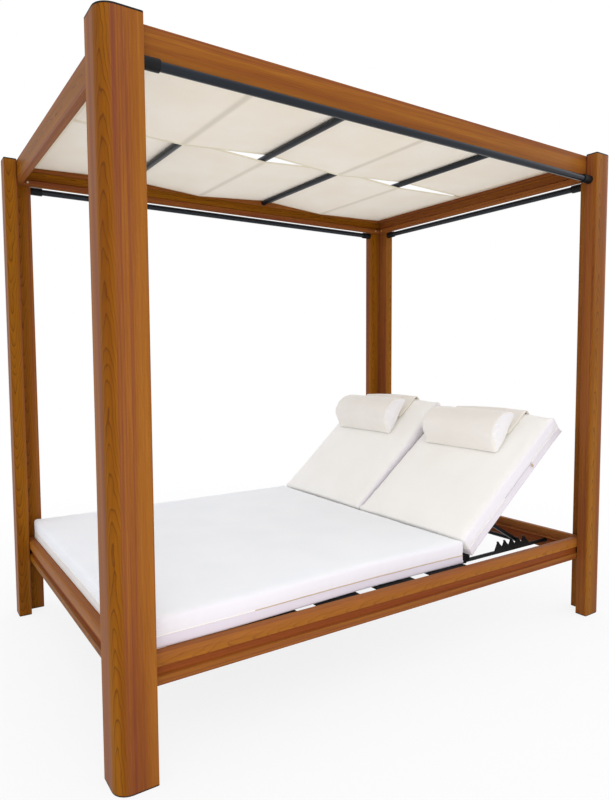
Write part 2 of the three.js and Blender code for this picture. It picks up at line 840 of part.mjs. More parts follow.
function bolster() {
  const corners = bolsterProfileShares.map(
    ([along, out]) => new THREE.Vector3(bolsterDepth * along, 0, bolsterHeight * out),
  );
  const curve = new THREE.CatmullRomCurve3(corners, true, "centripetal");
  const section = curve.getPoints(2 * corners.length).slice(0, -1);
  const centre = new THREE.Vector3(bolsterDepth / 2, 0, bolsterHeight / 2);
  const half = bolsterWidth / 2;
  const ends = bolsterEndInsets.map((inset, index) => ({ y: half - inset, share: bolsterEndShares[index] }));
  const slices = [...ends.map(({ y, share }) => ({ y: -y, share })), ...ends.reverse()];
  const loops = slices.map(({ y, share }) =>
    section.map((point) => point.clone().sub(centre).multiplyScalar(share).add(centre).setY(y)),
  );
  const tip = half + bolsterEndCrown;
  const geometry = lofted(loops, centre.clone().setY(-tip), centre.clone().setY(tip));
  return geometry.translate(bolsterStart, 0, bolsterRise);
}

function flap() {
  const thick = flapThickness / 2;
  const lowest = flapClearance + thick;
  const wrap = padEdgeRadius + lowest;
  const bend = cushionLength - padEdgeRadius;
  const path = [new THREE.Vector2(flapStart, flapLift), new THREE.Vector2(flapSettle, cushionCrown + lowest)];
  for (let step = 0; step <= coarseSteps; step += 1) {
    const angle = quarterTurn * (1 - step / coarseSteps);
    path.push(new THREE.Vector2(bend + wrap * Math.cos(angle), wrap * Math.sin(angle) - padEdgeRadius));
  }
  path.push(new THREE.Vector2(bend + wrap, -padEdgeRadius - flapDrop));
  const normals = path.map((point, index) => {
    const before = path[Math.max(index - 1, 0)];
    const after = path[Math.min(index + 1, path.length - 1)];
    const along = after.clone().sub(before).normalize();
    return new THREE.Vector2(-along.y, along.x);
  });
  const above = path.map((point, index) => point.clone().addScaledVector(normals[index], thick));
  const below = path.map((point, index) => point.clone().addScaledVector(normals[index], -thick)).reverse();
  return alongY(extrusion([...above, ...below], [], bolsterWidth), bolsterWidth / 2);
}

function addBack(name, centreY, restDegrees) {
  const restAngle = THREE.MathUtils.degToRad(restDegrees);
  const rest = restMatrix(restAngle, centreY);
  add(`back_frame_${name}`, geometryOf(backFrame()).applyMatrix4(rest), blackSteel);

  const pivot = new THREE.Vector3(propPivotReach, 0, 0).applyMatrix4(rest);
  const fall = propFall(restAngle);
  const propGeometry = prop().rotateY(fall).translate(pivot.x, pivot.y, pivot.z);
  add(`prop_${name}`, propGeometry, blackSteel);
  const footX = pivot.x + propLength * Math.cos(fall);

  [-1, 1].forEach((sign) => {
    const end = sign < 0 ? "outer" : "inner";
    const label = centreY < 0 ? end : { outer: "inner", inner: "outer" }[end];
    add(`rack_${name}_${label}`, rack(centreY, sign, footX), blackSteel);
  });

  const start = cushionFlatStart + cushionTravelPerRadian * restAngle;
  const onFrame = new THREE.Matrix4().makeTranslation(start, 0, backPlane + cushionLift);
  const cushionMatrix = rest.clone().multiply(onFrame);
  const cushion = pad(cushionLength, cushionWidth, cushionThickness, cushionCrown);
  cushion.translate(cushionLength / 2, 0, 0).applyMatrix4(cushionMatrix);
  add(`back_cushion_${name}`, cushion, cushionFabric);

  const onTop = new THREE.Matrix4().makeTranslation(0, bolsterOffsets[name], cushionThickness);
  const topMatrix = cushionMatrix.clone().multiply(onTop);
  add(`bolster_${name}`, bolster().applyMatrix4(topMatrix), bolsterFabric);
  add(`bolster_flap_${name}`, flap().applyMatrix4(topMatrix), bolsterFabric);
}

addCorner("foot_left", -1, -1);
addCorner("head_left", 1, -1);
addCorner("head_right", 1, 1);
addCorner("foot_right", -1, 1);

["left", "head", "right", "foot"].forEach((name, side) => {
  add(`beam_${name}`, ringBar(beamOutline(), [beamHollow()], beamUnderside, side), woodAluminium);
  add(`rail_${name}`, ringBar(railOutline(), [railHollow()], railUnderside, side), woodAluminium);
});

["left", "head", "right"].forEach((name, side) => addRod(name, side));

addShadeBars();
addShadeBands();
addBoards();
addMattress();
addHingeTube();
addBack("left", -backOffset, leftRestDegrees);
addBack("right", backOffset, rightRestDegrees);

export default daybed;
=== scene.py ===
import json
import math
from functools import partial

import bmesh
import bpy
from mathutils import Matrix, Vector, noise
from mathutils.bvhtree import BVHTree

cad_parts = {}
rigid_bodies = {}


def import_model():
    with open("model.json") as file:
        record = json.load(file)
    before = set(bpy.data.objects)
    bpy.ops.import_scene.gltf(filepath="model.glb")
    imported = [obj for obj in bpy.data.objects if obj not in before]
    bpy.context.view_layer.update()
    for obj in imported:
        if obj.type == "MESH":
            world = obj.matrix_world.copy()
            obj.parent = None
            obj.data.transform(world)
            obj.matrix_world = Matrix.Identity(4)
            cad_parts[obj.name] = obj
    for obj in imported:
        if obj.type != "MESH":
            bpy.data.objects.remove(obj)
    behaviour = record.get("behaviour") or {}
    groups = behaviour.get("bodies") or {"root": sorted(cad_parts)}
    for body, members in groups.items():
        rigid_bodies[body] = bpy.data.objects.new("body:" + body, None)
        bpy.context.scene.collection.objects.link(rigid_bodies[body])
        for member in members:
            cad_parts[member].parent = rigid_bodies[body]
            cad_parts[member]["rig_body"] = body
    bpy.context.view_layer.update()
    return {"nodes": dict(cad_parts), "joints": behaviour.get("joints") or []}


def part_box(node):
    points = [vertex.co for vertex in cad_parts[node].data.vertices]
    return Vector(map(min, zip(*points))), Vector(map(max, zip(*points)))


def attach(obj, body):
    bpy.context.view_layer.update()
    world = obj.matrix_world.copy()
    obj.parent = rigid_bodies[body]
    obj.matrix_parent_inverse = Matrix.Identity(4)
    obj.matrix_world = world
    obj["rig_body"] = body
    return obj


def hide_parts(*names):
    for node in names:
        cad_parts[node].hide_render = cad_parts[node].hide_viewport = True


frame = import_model()

# Metres, +Z up, +X toward the head end, +Y toward the right side; a size in mm is multiplied by MM.
MM = 0.001
nodes = frame["nodes"]
joints = {joint["name"]: joint for joint in frame["joints"]}


# Small helpers for colours, nodes and meshes


def linear(hex_colour):
    """Turns an sRGB hex colour into the linear RGBA that Blender's sockets take."""
    channels = [int(hex_colour[i : i + 2], 16) / 255 for i in (1, 3, 5)]
    return [c / 12.92 if c <= 0.04045 else ((c + 0.055) / 1.055) ** 2.4 for c in channels] + [1.0]


def add(tree, kind, links=None, **settings):
    """Adds a node, sets its properties, and sets its inputs or links them to other nodes."""
    made = tree.nodes.new("ShaderNode" + kind)
    stops = settings.pop("stops", ())
    for key, value in settings.items():
        setattr(made, key, value)
    for key, value in (links or {}).items():
        if isinstance(value, bpy.types.Node):
            value = next(output for output in value.outputs if output.enabled)
        if isinstance(value, bpy.types.NodeSocket):
            tree.links.new(value, made.inputs[key])
        else:
            made.inputs[key].default_value = value
    for index, (place, colour) in enumerate(stops):
        elements = made.color_ramp.elements
        element = elements[index] if index < 2 else elements.new(place)
        element.position, element.color = place, linear(colour)
    return made


# Settings that several nodes share
SMOOTH = {"interpolation_type": "SMOOTHSTEP"}
COLOURS = {"data_type": "RGBA"}


def ramp(value, low, high, start=0.0, end=1.0):
    """Inputs that take a value from one range to another."""
    return {"Value": value, "From Min": low, "From Max": high, "To Min": start, "To Max": end}


def start_material(name, roughness, ior=1.5):
    """A new material with its surface shader and the node adder for its tree."""
    material = bpy.data.materials.new(name)
    material.use_nodes = True
    material.node_tree.nodes.clear()
    put = partial(add, material.node_tree)
    surface = put("BsdfPrincipled", {"Roughness": roughness, "IOR": ior})
    put("OutputMaterial", {"Surface": surface})

    def wire(source, socket):
        output = next(output for output in source.outputs if output.enabled)
        material.node_tree.links.new(output, surface.inputs[socket])

    return material, put, surface, wire


def show(obj):
    """Puts an object into the scene."""
    bpy.context.scene.collection.objects.link(obj)
    return obj


def mesh_object(name, verts, faces, material):
    """A smooth-shaded object in the scene, with its faces turned outward."""
    mesh = bpy.data.meshes.new(name)
    mesh.from_pydata([tuple(v) for v in verts], [], faces)
    bm = bmesh.new()
    bm.from_mesh(mesh)
    bmesh.ops.recalc_face_normals(bm, faces=bm.faces)
    bm.to_mesh(mesh)
    bm.free()
    mesh.shade_smooth()
    mesh.materials.append(material)
    return show(bpy.data.objects.new(name, mesh))


def bake_modifiers(obj):
    """Replaces an object's mesh by the one its modifiers make of it."""
    graph = bpy.context.evaluated_depsgraph_get()
    made = bpy.data.meshes.new_from_object(obj.evaluated_get(graph))
    obj.modifiers.clear()
    obj.data = made


def cord_along(name, points, radius, material, closed=False):
    """A sewn cord, seam or zip whose centre follows the points."""
    curve = bpy.data.curves.new(name, "CURVE")
    curve.dimensions = "3D"
    curve.bevel_depth = radius
    curve.bevel_resolution = 1
    curve.use_fill_caps = True
    spline = curve.splines.new("POLY")
    spline.points.add(len(points) - 1)
    for place, point in zip(spline.points, points):
        place.co = (*point, 1.0)
    spline.use_cyclic_u = closed
    guide = show(bpy.data.objects.new(name, curve))
    mesh = bpy.data.meshes.new_from_object(guide.evaluated_get(bpy.context.evaluated_depsgraph_get()))
    bpy.data.objects.remove(guide)
    mesh.materials.clear()
    mesh.materials.append(material)
    mesh.shade_smooth()
    return show(bpy.data.objects.new(name, mesh))


def smoothstep(low, high, value):
    """0 below the low limit, 1 above the high one and a smooth rise between them."""
    t = min(max((value - low) / (high - low), 0.0), 1.0)
    return t * t * (3 - 2 * t)


# Materials

RING_STEP = 8 * MM
RING_SWAY = 44 * MM
RING_STOPS = [(0.0, "#000000"), (0.5, "#3A3A3A"), (0.8, "#8A8A8A"), (0.91, "#FFFFFF"), (1.0, "#404040")]
OUTER_WOOD = [(0.3, "#7F4617"), (0.47, "#90561A"), (0.6, "#9C621F"), (0.75, "#8B4F19")]
INNER_WOOD = [(0.3, "#7F4708"), (0.5, "#8E560A"), (0.7, "#9C620D")]
STREAK_TONE = "#73392B"
LINE_TONE = "#54290B"
BAND_EDGE = 1.5 * MM


def printed_cherry(name, along, piths, taper, shift, bands=()):
    """Extruded aluminium with a sublimated cherry-wood print, satin.

    The print gives the eye brown growth lines that close into nested arches over a pith, purplish
    streaks beside it and fine fibres, all without depth. The satin skin under it gives a soft sheen
    at a low angle. Bands are strips between two heights painted in another tone: low, high, tone and
    weight. On the rails a darker, redder painted shade fills the groove and a painted highlight lies on
    the bead.
    """
    material, put, surface, wire = start_material(name, 0.42)
    coords = put("TexCoord").outputs["Object"]
    split = put("SeparateXYZ", {0: coords}).outputs
    side_a, side_b = {"x": "YZ", "y": "XZ", "z": "XY"}[along]
    lengthwise = split[along.upper()]
    grain = put("CombineXYZ", {0: split[side_a], 1: split[side_b], 2: lengthwise})
    moved = put("VectorMath", {0: grain, 1: (shift, 2 * shift, 5 * shift)}, operation="ADD")

    def streaks(across, lengthways, detail, roughness=0.5):
        """Noise drawn out along the grain, in spots per metre."""
        scaled = put("VectorMath", {0: moved, 1: (across, across, lengthways)}, operation="MULTIPLY")
        return put("TexNoise", {"Vector": scaled, "Scale": 1.0, "Detail": detail, "Roughness": roughness})

    section = put("CombineXYZ", {0: split[side_a], 1: split[side_b]})
    depth = None
    for pith in piths:
        here = put("VectorMath", {0: section, 1: (*pith, 0.0)}, operation="DISTANCE")
        depth = put("Math", {0: depth, 1: here}, operation="MINIMUM") if depth else here
    # Growth rings run slightly askew to the length, so that they surface as arches.
    swayed = put("Math", {0: streaks(12, 4, 3.0, 0.55), 1: RING_SWAY, 2: depth}, operation="MULTIPLY_ADD")
    askew = put("Math", {0: lengthwise, 1: taper, 2: swayed}, operation="MULTIPLY_ADD")
    counted = put("Math", {0: askew, 1: RING_STEP}, operation="DIVIDE")
    ring = put("Math", {0: counted}, operation="FRACT")
    ring_line = put("ValToRGB", {"Fac": ring}, stops=RING_STOPS)
    near_pith = put("MapRange", ramp(depth, 26 * MM, 40 * MM, 1.0, 0.0), **SMOOTH)
    beside_pith = put("MapRange", ramp(depth, 26 * MM, 38 * MM), **SMOOTH)
    past_streaks = put("MapRange", ramp(depth, 64 * MM, 92 * MM, 1.0, 0.3), **SMOOTH)

    broad = streaks(24, 0.8, 2.0)
    outer = put("ValToRGB", {"Fac": broad}, stops=OUTER_WOOD)
    inner = put("ValToRGB", {"Fac": broad}, stops=INNER_WOOD)
    ground = put("Mix", {0: near_pith, 6: outer, 7: inner}, **COLOURS)
    zone = put("Math", {0: beside_pith, 1: past_streaks}, operation="MULTIPLY")
    streak = put("MapRange", ramp(streaks(210, 1.1, 3.0), 0.42, 0.68, 0.26, 0.78), **SMOOTH)
    streak_share = put("Math", {0: streak, 1: zone}, operation="MULTIPLY")
    streaked = put("Mix", {0: streak_share, 6: ground, 7: linear(STREAK_TONE)}, **COLOURS)
    line_reach = put("MapRange", ramp(depth, 20 * MM, 44 * MM, 0.75, 0.12), **SMOOTH)
    line_share = put("Math", {0: ring_line, 1: line_reach}, operation="MULTIPLY")
    lined = put("Mix", {0: line_share, 6: streaked, 7: linear(LINE_TONE)}, **COLOURS)
    # Each band paints its strip another tone: painted shade in a groove, a painted highlight on a bead
    for low, high, tone, weight in bands:
        rise = ramp(split["Z"], low - BAND_EDGE, low + BAND_EDGE, 0.0, weight)
        fall = ramp(split["Z"], high - BAND_EDGE, high + BAND_EDGE, 1.0, 0.0)
        above_low, below_high = (put("MapRange", step, **SMOOTH) for step in (rise, fall))
        within = put("Math", {0: above_low, 1: below_high}, operation="MULTIPLY")
        lined = put("Mix", {0: within, 6: lined, 7: linear(tone)}, **COLOURS)
    # Fibres 1 mm wide, about twice the real ones so that they show.
    fibre = streaks(950, 11, 2.0, 0.6)
    contrast = put("MapRange", ramp(fibre, 0.2, 0.8, 0.84, 1.14), **SMOOTH)
    wire(put("VectorMath", {0: lined, "Scale": contrast}, operation="SCALE"), "Base Color")
    wire(put("MapRange", ramp(fibre, 0.3, 0.7, 0.4, 0.5), **SMOOTH), "Roughness")
    # The powder under the print keeps a very fine skin, about 0.7 mm from grain to grain.
    skin = put("TexNoise", {"Vector": coords, "Scale": 1400.0, "Detail": 1.0})
    wire(put("Bump", {"Strength": 0.05, "Distance": 0.1 * MM, "Height": skin}), "Normal")
    surface.inputs["Specular IOR Level"].default_value = 0.07
    return material


def powder_black(name, light, dark, roughness, grain_mm, gloss):
    """Black polyester powder coat or spark-eroded nylon.

    A hard skin whose fine peel breaks the light into soft streaks.
    """
    material, put, surface, wire = start_material(name, roughness)
    coords = put("TexCoord").outputs["Object"]
    cloud = put("TexNoise", {"Vector": coords, "Scale": 14.0, "Detail": 3.0})
    wire(put("Mix", {0: cloud, 6: linear(light), 7: linear(dark)}, **COLOURS), "Base Color")
    spread = ramp(cloud, 0.0, 1.0, roughness - 0.05, roughness + 0.05)
    wire(put("MapRange", spread), "Roughness")
    peel = put("TexNoise", {"Vector": coords, "Scale": 1 / (grain_mm * MM), "Detail": 2.0})
    wire(put("Bump", {"Strength": 0.12, "Distance": 0.1 * MM, "Height": peel}), "Normal")
    surface.inputs["Specular IOR Level"].default_value = gloss
    return material


# Thread spacing in mm as it is drawn, for cloth and for tapes and hems
THREAD, FINE_THREAD = 2.4, 2.0
# Tone of the painted shadow line under a bar that lies over a canopy band
BAR_SHADOW_TONE = "#C9C0AA"


def woven_cloth(name, thread_mm, light, shade, slub, bar_shadows=(), side_shade_tone=None):
    """Plain-woven acrylic or polyester: a matt skin whose crossing threads give a fine even tooth.

    The real threads are about 0.6 mm apart; they are drawn at the spacing given so that they show.
    Bar shadows are the places along X under a bar that lies over the cloth; each is painted there as a
    soft grey shadow line. Faces turned towards +Y or -Y take the side tone, a cooler, darker painted
    shade for the sides, which the light reaches less.
    """
    material, put, surface, wire = start_material(name, 0.85, 1.45)
    coords = put("TexCoord").outputs["Object"]
    threads = None
    for direction in "XYZ":
        # A wave texture repeats every 2 pi / 20 of its scale.
        scale = {"Vector": coords, "Scale": math.pi / 10 / (thread_mm * MM), "Distortion": 0.4}
        run = put("TexWave", scale, wave_type="BANDS", bands_direction=direction)
        threads = put("Math", {0: threads, 1: run}, operation="ADD") if threads else run
    cloud = put("TexNoise", {"Vector": coords, "Scale": 5.0, "Detail": 4.0})
    thick = put("TexNoise", {"Vector": coords, "Scale": 420.0, "Detail": 2.0, "Roughness": 0.7})
    mixed = put("Math", {0: thick, 1: slub, 2: cloud}, operation="MULTIPLY_ADD")
    worn = put("MapRange", ramp(mixed, 0.35, 0.7 + slub))
    tone = put("Mix", {0: worn, 6: linear(light), 7: linear(shade)}, **COLOURS)
    # Painted shadow lines under the bars that lie over the cloth
    if bar_shadows:
        place = put("SeparateXYZ", {0: coords}).outputs["X"]
        shadowed = None
        for shadow_x in bar_shadows:
            signed = put("Math", {0: place, 1: shadow_x}, operation="SUBTRACT")
            away = put("Math", {0: signed}, operation="ABSOLUTE")
            near = put("MapRange", ramp(away, 3 * MM, 22 * MM, 0.55, 0.0), **SMOOTH)
            shadowed = put("Math", {0: shadowed, 1: near}, operation="MAXIMUM") if shadowed else near
        tone = put("Mix", {0: shadowed, 6: tone, 7: linear(BAR_SHADOW_TONE)}, **COLOURS)
    # Painted shade: faces turned towards +Y or -Y take the cooler, darker side tone
    if side_shade_tone:
        across = put("SeparateXYZ", {0: put("TexCoord").outputs["Normal"]}).outputs["Y"]
        turned = put("Math", {0: across}, operation="ABSOLUTE")
        side_shade_share = put("MapRange", ramp(turned, 0.2, 1.0))
        tone = put("Mix", {0: side_shade_share, 6: tone, 7: linear(side_shade_tone)}, **COLOURS)
    wire(tone, "Base Color")
    wire(put("Bump", {"Strength": 0.18, "Distance": 0.3 * MM, "Height": threads}), "Normal")
    surface.inputs["Sheen Weight"].default_value = 0.15
    surface.inputs["Sheen Roughness"].default_value = 0.5
    return material


def turned_stainless(name):
    """Turned stainless steel: a small bright disc with faint turning marks, seen as a pale dot."""
    material, put, surface, wire = start_material(name, 0.35)
    marks = put("TexNoise", {"Vector": put("TexCoord").outputs["Object"], "Scale": 900.0})
    wire(put("ValToRGB", {"Fac": marks}, stops=[(0.3, "#B9B4A6"), (0.7, "#D6D0C0")]), "Base Color")
    surface.inputs["Metallic"].default_value = 1.0
    return material


rod_black = powder_black("powder_coated_black_tube", "#101A25", "#0B1219", 0.3, 1.2, 0.3)
deck_black = powder_black("powder_coated_black_board", "#06080A", "#040506", 0.6, 1.0, 0.12)
steel_black = powder_black("powder_coated_black_steel", "#12161A", "#0D0F11", 0.42, 1.0, 0.25)
nylon_black = powder_black("moulded_black_nylon", "#0A0B0D", "#101113", 0.5, 0.5, 0.2)
canopy_hem = woven_cloth("woven_cream_acrylic_doubled_hem", THREAD, "#EEE4CB", "#E6DBBE", 0.25)
# Each side tone below is painted shade on the faces turned towards +Y or -Y
seat_cloth = woven_cloth(
    "woven_white_polyester_seat", THREAD, "#F8FAFB", "#F3F6F8", 0.15, side_shade_tone="#E9E6EA"
)
seat_border = woven_cloth(
    "woven_white_polyester_seat_border", THREAD, "#EBE8E3", "#E2DFD9", 0.15, side_shade_tone="#DED7E0"
)
back_cloth = woven_cloth(
    "woven_ivory_polyester_back", THREAD, "#FBFAF5", "#F6F4EE", 0.15, side_shade_tone="#EBE7EA"
)
back_border = woven_cloth("woven_ivory_polyester_back_border", THREAD, "#E6E0E4", "#DDD6DC", 0.15)
bolster_cloth = woven_cloth("woven_ivory_polyester_bolster", THREAD, "#F3EFE8", "#ECE7DE", 0.15)
bolster_disc = woven_cloth("woven_ivory_polyester_bolster_end", THREAD, "#F0EEEE", "#E8E5E6", 0.15)
# A real turned hem on the strap's edges, its darker, yellower tone partly painted shade along that edge
flap_hem_in_shade = woven_cloth("woven_ivory_polyester_turned_hem_in_shade", FINE_THREAD, "#E9DFC4", "#E0D4B4", 0.2)
zip_tape = woven_cloth("woven_tan_zip_tape", FINE_THREAD, "#C9B48F", "#BBA480", 0.3)
zip_shade = woven_cloth("woven_ivory_zip_tape_in_shade", FINE_THREAD, "#BDB5B4", "#AFA7A6", 0.3)
piping_cloth = woven_cloth("woven_ivory_piping", FINE_THREAD, "#F7F4EC", "#EFEBE1", 0.2)
screw_metal = turned_stainless("turned_stainless_screw")


# Rigid pieces: each CAD solid again, with the edges eased and the round faces smooth

PROFILE_EDGE = 0.9 * MM
SMALL_EDGE = 0.6 * MM
WELD = 0.02 * MM
FLAT_ANGLE, SHARP_ANGLE, SHADE_ANGLE = (math.radians(degrees) for degrees in (0.6, 38, 50))


def ease(node_name, material, edge_width):
    """A CAD solid with rounded edges in its material, in the place of its node."""
    node = nodes[node_name]
    bm = bmesh.new()
    bm.from_mesh(node.data)
    bmesh.ops.remove_doubles(bm, verts=bm.verts, dist=WELD)
    bmesh.ops.dissolve_limit(bm, angle_limit=FLAT_ANGLE, verts=bm.verts, edges=bm.edges)
    sharp = [edge for edge in bm.edges if edge.is_manifold and edge.calc_face_angle() > SHARP_ANGLE]
    bmesh.ops.bevel(
        bm, geom=sharp, offset=edge_width, offset_type="OFFSET", segments=2, profile=0.5,
        affect="EDGES", clamp_overlap=True,
    )
    mesh = bpy.data.meshes.new(node_name + "_eased")
    bm.to_mesh(mesh)
    bm.free()
    mesh.shade_smooth()
    mesh.set_sharp_from_angle(angle=SHADE_ANGLE)
    mesh.materials.append(material)
    made = show(bpy.data.objects.new(node_name + "_eased", mesh))
    made.modifiers.new("flat_faces", "WEIGHTED_NORMAL").keep_sharp = True
    bake_modifiers(made)
    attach(made, node["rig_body"])
    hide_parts(node_name)


# Each pith is its place across the length; the taper turns the arches' tips up or down, and the shift
# moves the figure, so that no two pieces have the same.
POST_PITHS = {
    "foot_left": ([(-1.0945, -0.7546)], 0.11, 0.13),
    "head_left": ([(1.004, -0.775)], 0.11, 0.57),
    "head_right": ([(0.995, 0.700), (1.075, 0.635)], 0.11, 0.31),
    "foot_right": ([(-1.078, 0.635), (-1.026, 0.700)], -0.11, 0.83),
}
BEAM_PITHS = {
    "left": ("x", [(-0.74, 2.05)], 0.03, 0.21),
    "head": ("y", [(1.06, 1.96)], 0.03, 0.45),
    "right": ("x", [(0.71, 1.96)], 0.04, 0.77),
    "foot": ("y", [(-1.05, 1.95)], -0.04, 0.12),
}
RAIL_PITHS = {
    "left": ("x", [(-0.737, 0.302)], -0.13, 0.61),
    "head": ("y", [(1.066, 0.302)], 0.13, 0.85),
    "right": ("x", [(0.737, 0.302)], 0.13, 0.17),
    "foot": ("y", [(-1.062, 0.325), (-1.062, 0.290), (-1.062, 0.256)], 0.05, 0.52),
}
# Painted shade in the rails' groove and a painted highlight on their bead: low, high, tone, weight
GROOVE_SHADE_BAND = (0.2725, 0.297, "#863C17", 0.6)
BEAD_HIGHLIGHT_BAND = (0.297, 0.345, "#BA763F", 0.26)
for corner, (piths, taper, shift) in POST_PITHS.items():
    wood = printed_cherry("cherry_print_post_" + corner, "z", piths, taper, shift)
    ease("post_" + corner, wood, PROFILE_EDGE)
for kind, table, bands in (
    ("beam_", BEAM_PITHS, ()),
    ("rail_", RAIL_PITHS, (GROOVE_SHADE_BAND, BEAD_HIGHLIGHT_BAND)),
):
    for side, (along, piths, taper, shift) in table.items():
        wood = printed_cherry("cherry_print_" + kind + side, along, piths, taper, shift, bands)
        ease(kind + side, wood, PROFILE_EDGE)

FINISHES = {
    "curtain_rod": rod_black,
    "shade_bar": rod_black,
    "post_cap": nylon_black,
    "floor_plate": nylon_black,
    "rod_socket": nylon_black,
    "deck_board": deck_black,
    "deck_strip": nylon_black,
    "hinge_tube": steel_black,
    "rack": steel_black,
    "back_frame": steel_black,
    "prop": steel_black,
}
for node_name in sorted(nodes):
    for start, finish in FINISHES.items():
        if node_name.startswith(start):
            ease(node_name, finish, SMALL_EDGE)


# Padded pieces: boxed pads built as rings, then filled by a short cloth simulation

PAD_THICKNESS = 90 * MM
PAD_SEAM = 33 * MM
PAD_CORNER = 9 * MM
INNER_CORNER = 6 * MM
PAD_CROWN = 4 * MM
PAD_MIDDLE_SHARE = 0.94
ARC_POINTS = 6
FILL_ALLOWANCE = 1.5 * MM
FILL_CAP = 3.5 * MM
FILL_STEPS = 20
FILL_PRESSURE = 4.0

# Side profile of a boxed pad in mm, from the flat underside round to the top: inset and height below
# the middle of its side, inset and depth under the top above it
LOW_ROWS = [(20, 0), (11, 0.2), (6, 1.2), (2.6, 3.4), (0.8, 7), (0.2, 12), (0, 24), (0, 33), (0, 42)]
HIGH_ROWS = [(0.1, 16), (0.5, 10), (1.6, 6), (3.6, 3.1), (6.5, 1.3), (11, 0.4), (20, 0)]


def rounded_loop(half_x, half_y, corner, per_side):
    """Points round a rectangle with rounded corners, the same number for any size."""
    points = []
    corners = [(1, -1, -90), (1, 1, 0), (-1, 1, 90), (-1, -1, 180)]
    for index, (sign_x, sign_y, start) in enumerate(corners):
        for step in range(ARC_POINTS):
            angle = math.radians(start + 90 * step / (ARC_POINTS - 1))
            x = sign_x * (half_x - corner) + corner * math.cos(angle)
            y = sign_y * (half_y - corner) + corner * math.sin(angle)
            points.append((x, y))
        next_x, next_y, next_start = corners[(index + 1) % 4]
        angle = math.radians(next_start)
        end_x = next_x * (half_x - corner) + corner * math.cos(angle)
        end_y = next_y * (half_y - corner) + corner * math.sin(angle)
        last_x, last_y = points[-1]
        for step in range(1, per_side):
            t = step / per_side
            points.append((last_x + (end_x - last_x) * t, last_y + (end_y - last_y) * t))
    return points


def drawn_in(x, y, half_x, half_y, pull):
    """The sides of a pad pull in between its corners."""
    share_x, share_y = x / half_x, y / half_y
    return x - pull * share_x * (1 - share_y**2), y - pull * share_y * (1 - share_x**2)


def boxed_pad(name, span_x, span_y, pull, per_side, material):
    """A closed boxed pad, its underside on Z = 0, a little small because the filling swells it."""
    half_x, half_y = span_x / 2 - FILL_ALLOWANCE, span_y / 2 - FILL_ALLOWANCE
    inner_rows = per_side // 3
    reach = min(half_x, half_y) * PAD_MIDDLE_SHARE
    top = PAD_THICKNESS - FILL_ALLOWANCE
    rings = [(inset * MM, height * MM) for inset, height in LOW_ROWS]
    rings += [(inset * MM, top - depth * MM) for inset, depth in HIGH_ROWS]
    first = rings[0][0]
    shares = [k / inner_rows for k in range(1, inner_rows + 1)]
    insets = [first + (reach - first) * share for share in shares]
    under = [(inset, 0.0) for inset in reversed(insets)]
    over = [(inset, top + PAD_CROWN * (1 - (1 - share) ** 2.2)) for inset, share in zip(insets, shares)]
    verts, faces = [], []
    profile = under + rings + over
    for inset, height in profile:
        corner = max(PAD_CORNER - inset * 0.5, INNER_CORNER)
        loop = rounded_loop(half_x - inset, half_y - inset, corner, per_side)
        verts += [(*drawn_in(x, y, half_x, half_y, pull), height) for x, y in loop]
    count = len(verts) // len(profile)
    for ring in range(len(profile) - 1):
        for k in range(count):
            a, n = ring * count, (k + 1) % count
            faces.append((a + k, a + n, a + count + n, a + count + k))
    faces.append(tuple(range(count))[::-1])
    faces.append(tuple(range(len(verts) - count, len(verts))))
    return mesh_object(name, verts, faces, material)


def fill(covers, voxel, quality):
    """Blows closed covers up with a short cloth simulation, each point by at most the cap."""
    rests = []
    for cover in covers:
        even = cover.modifiers.new("even_grid", "REMESH")
        even.mode = "VOXEL"
        even.voxel_size = voxel
        bake_modifiers(cover)
        rests.append([vertex.co.copy() for vertex in cover.data.vertices])
        cloth = cover.modifiers.new("filling", "CLOTH").settings
        cloth.use_pressure = True
        cloth.uniform_pressure_force = FILL_PRESSURE
        cloth.effector_weights.gravity = 0.0
        cloth.quality = quality
    for step in range(1, FILL_STEPS + 1):
        bpy.context.scene.frame_set(step)
    for cover, rest in zip(covers, rests):
        bake_modifiers(cover)
        for vertex, start in zip(cover.data.vertices, rest):
            move = vertex.co - start
            vertex.co = start + move * min(1.0, FILL_CAP / max(move.length, 1e-9))
        cover.data.shade_smooth()
    bpy.context.scene.frame_set(1)


CORNER_REACH = 35 * MM
CORNER_EAR = 4 * MM
CORNER_RISE = 4.5 * MM
LOW_EDGE_SHARE = 0.85
LOW_EDGE_HEIGHTS = (4 * MM, 18 * MM)
LOW_EDGE_INSETS = (12 * MM, 40 * MM)


def square_up(cover, span_x, span_y, meeting_end):
    """Brings a filled cover back to its cut size, its corners stood out and its low edge sharp.

    The end where the mattress and a back cushion meet, +1 or -1 along X, has no stood-out corners.
    """
    vertices = cover.data.vertices
    reach_x, reach_y = (max(abs(vertex.co[axis]) for vertex in vertices) for axis in (0, 1))
    for vertex in vertices:
        x, y, z = vertex.co
        x, y = x * span_x / 2 / reach_x, y * span_y / 2 / reach_y
        edges = [span_x / 2 - abs(x), span_y / 2 - abs(y)]
        corner = math.prod(1 - smoothstep(0.0, CORNER_REACH, edge) for edge in edges)
        low = LOW_EDGE_SHARE * (1 - smoothstep(*LOW_EDGE_HEIGHTS, z))
        out_x, out_y = (edge * low * (1 - smoothstep(*LOW_EDGE_INSETS, edge)) for edge in edges)
        if x * meeting_end < 0:
            out_x += CORNER_EAR * corner
        out_y += CORNER_EAR * corner
        rise = CORNER_RISE * corner * smoothstep(0.6, 0.95, z / PAD_THICKNESS)
        vertex.co = (x + math.copysign(out_x, x), y + math.copysign(out_y, y), z + rise)


PUCKER = 1.1 * MM
ROUND_HOLLOW = 1.8 * MM
TOP_HOLLOW = 2.2 * MM
SEAM_GROOVE = 1.8 * MM
SEAM_HALF_WIDTH = 5 * MM
GROOVE_REACH = (10 * MM, 30 * MM)
SIDE_REACH = 90 * MM
ROUND_AT = 20 * MM
ROUND_WIDTH = 30 * MM


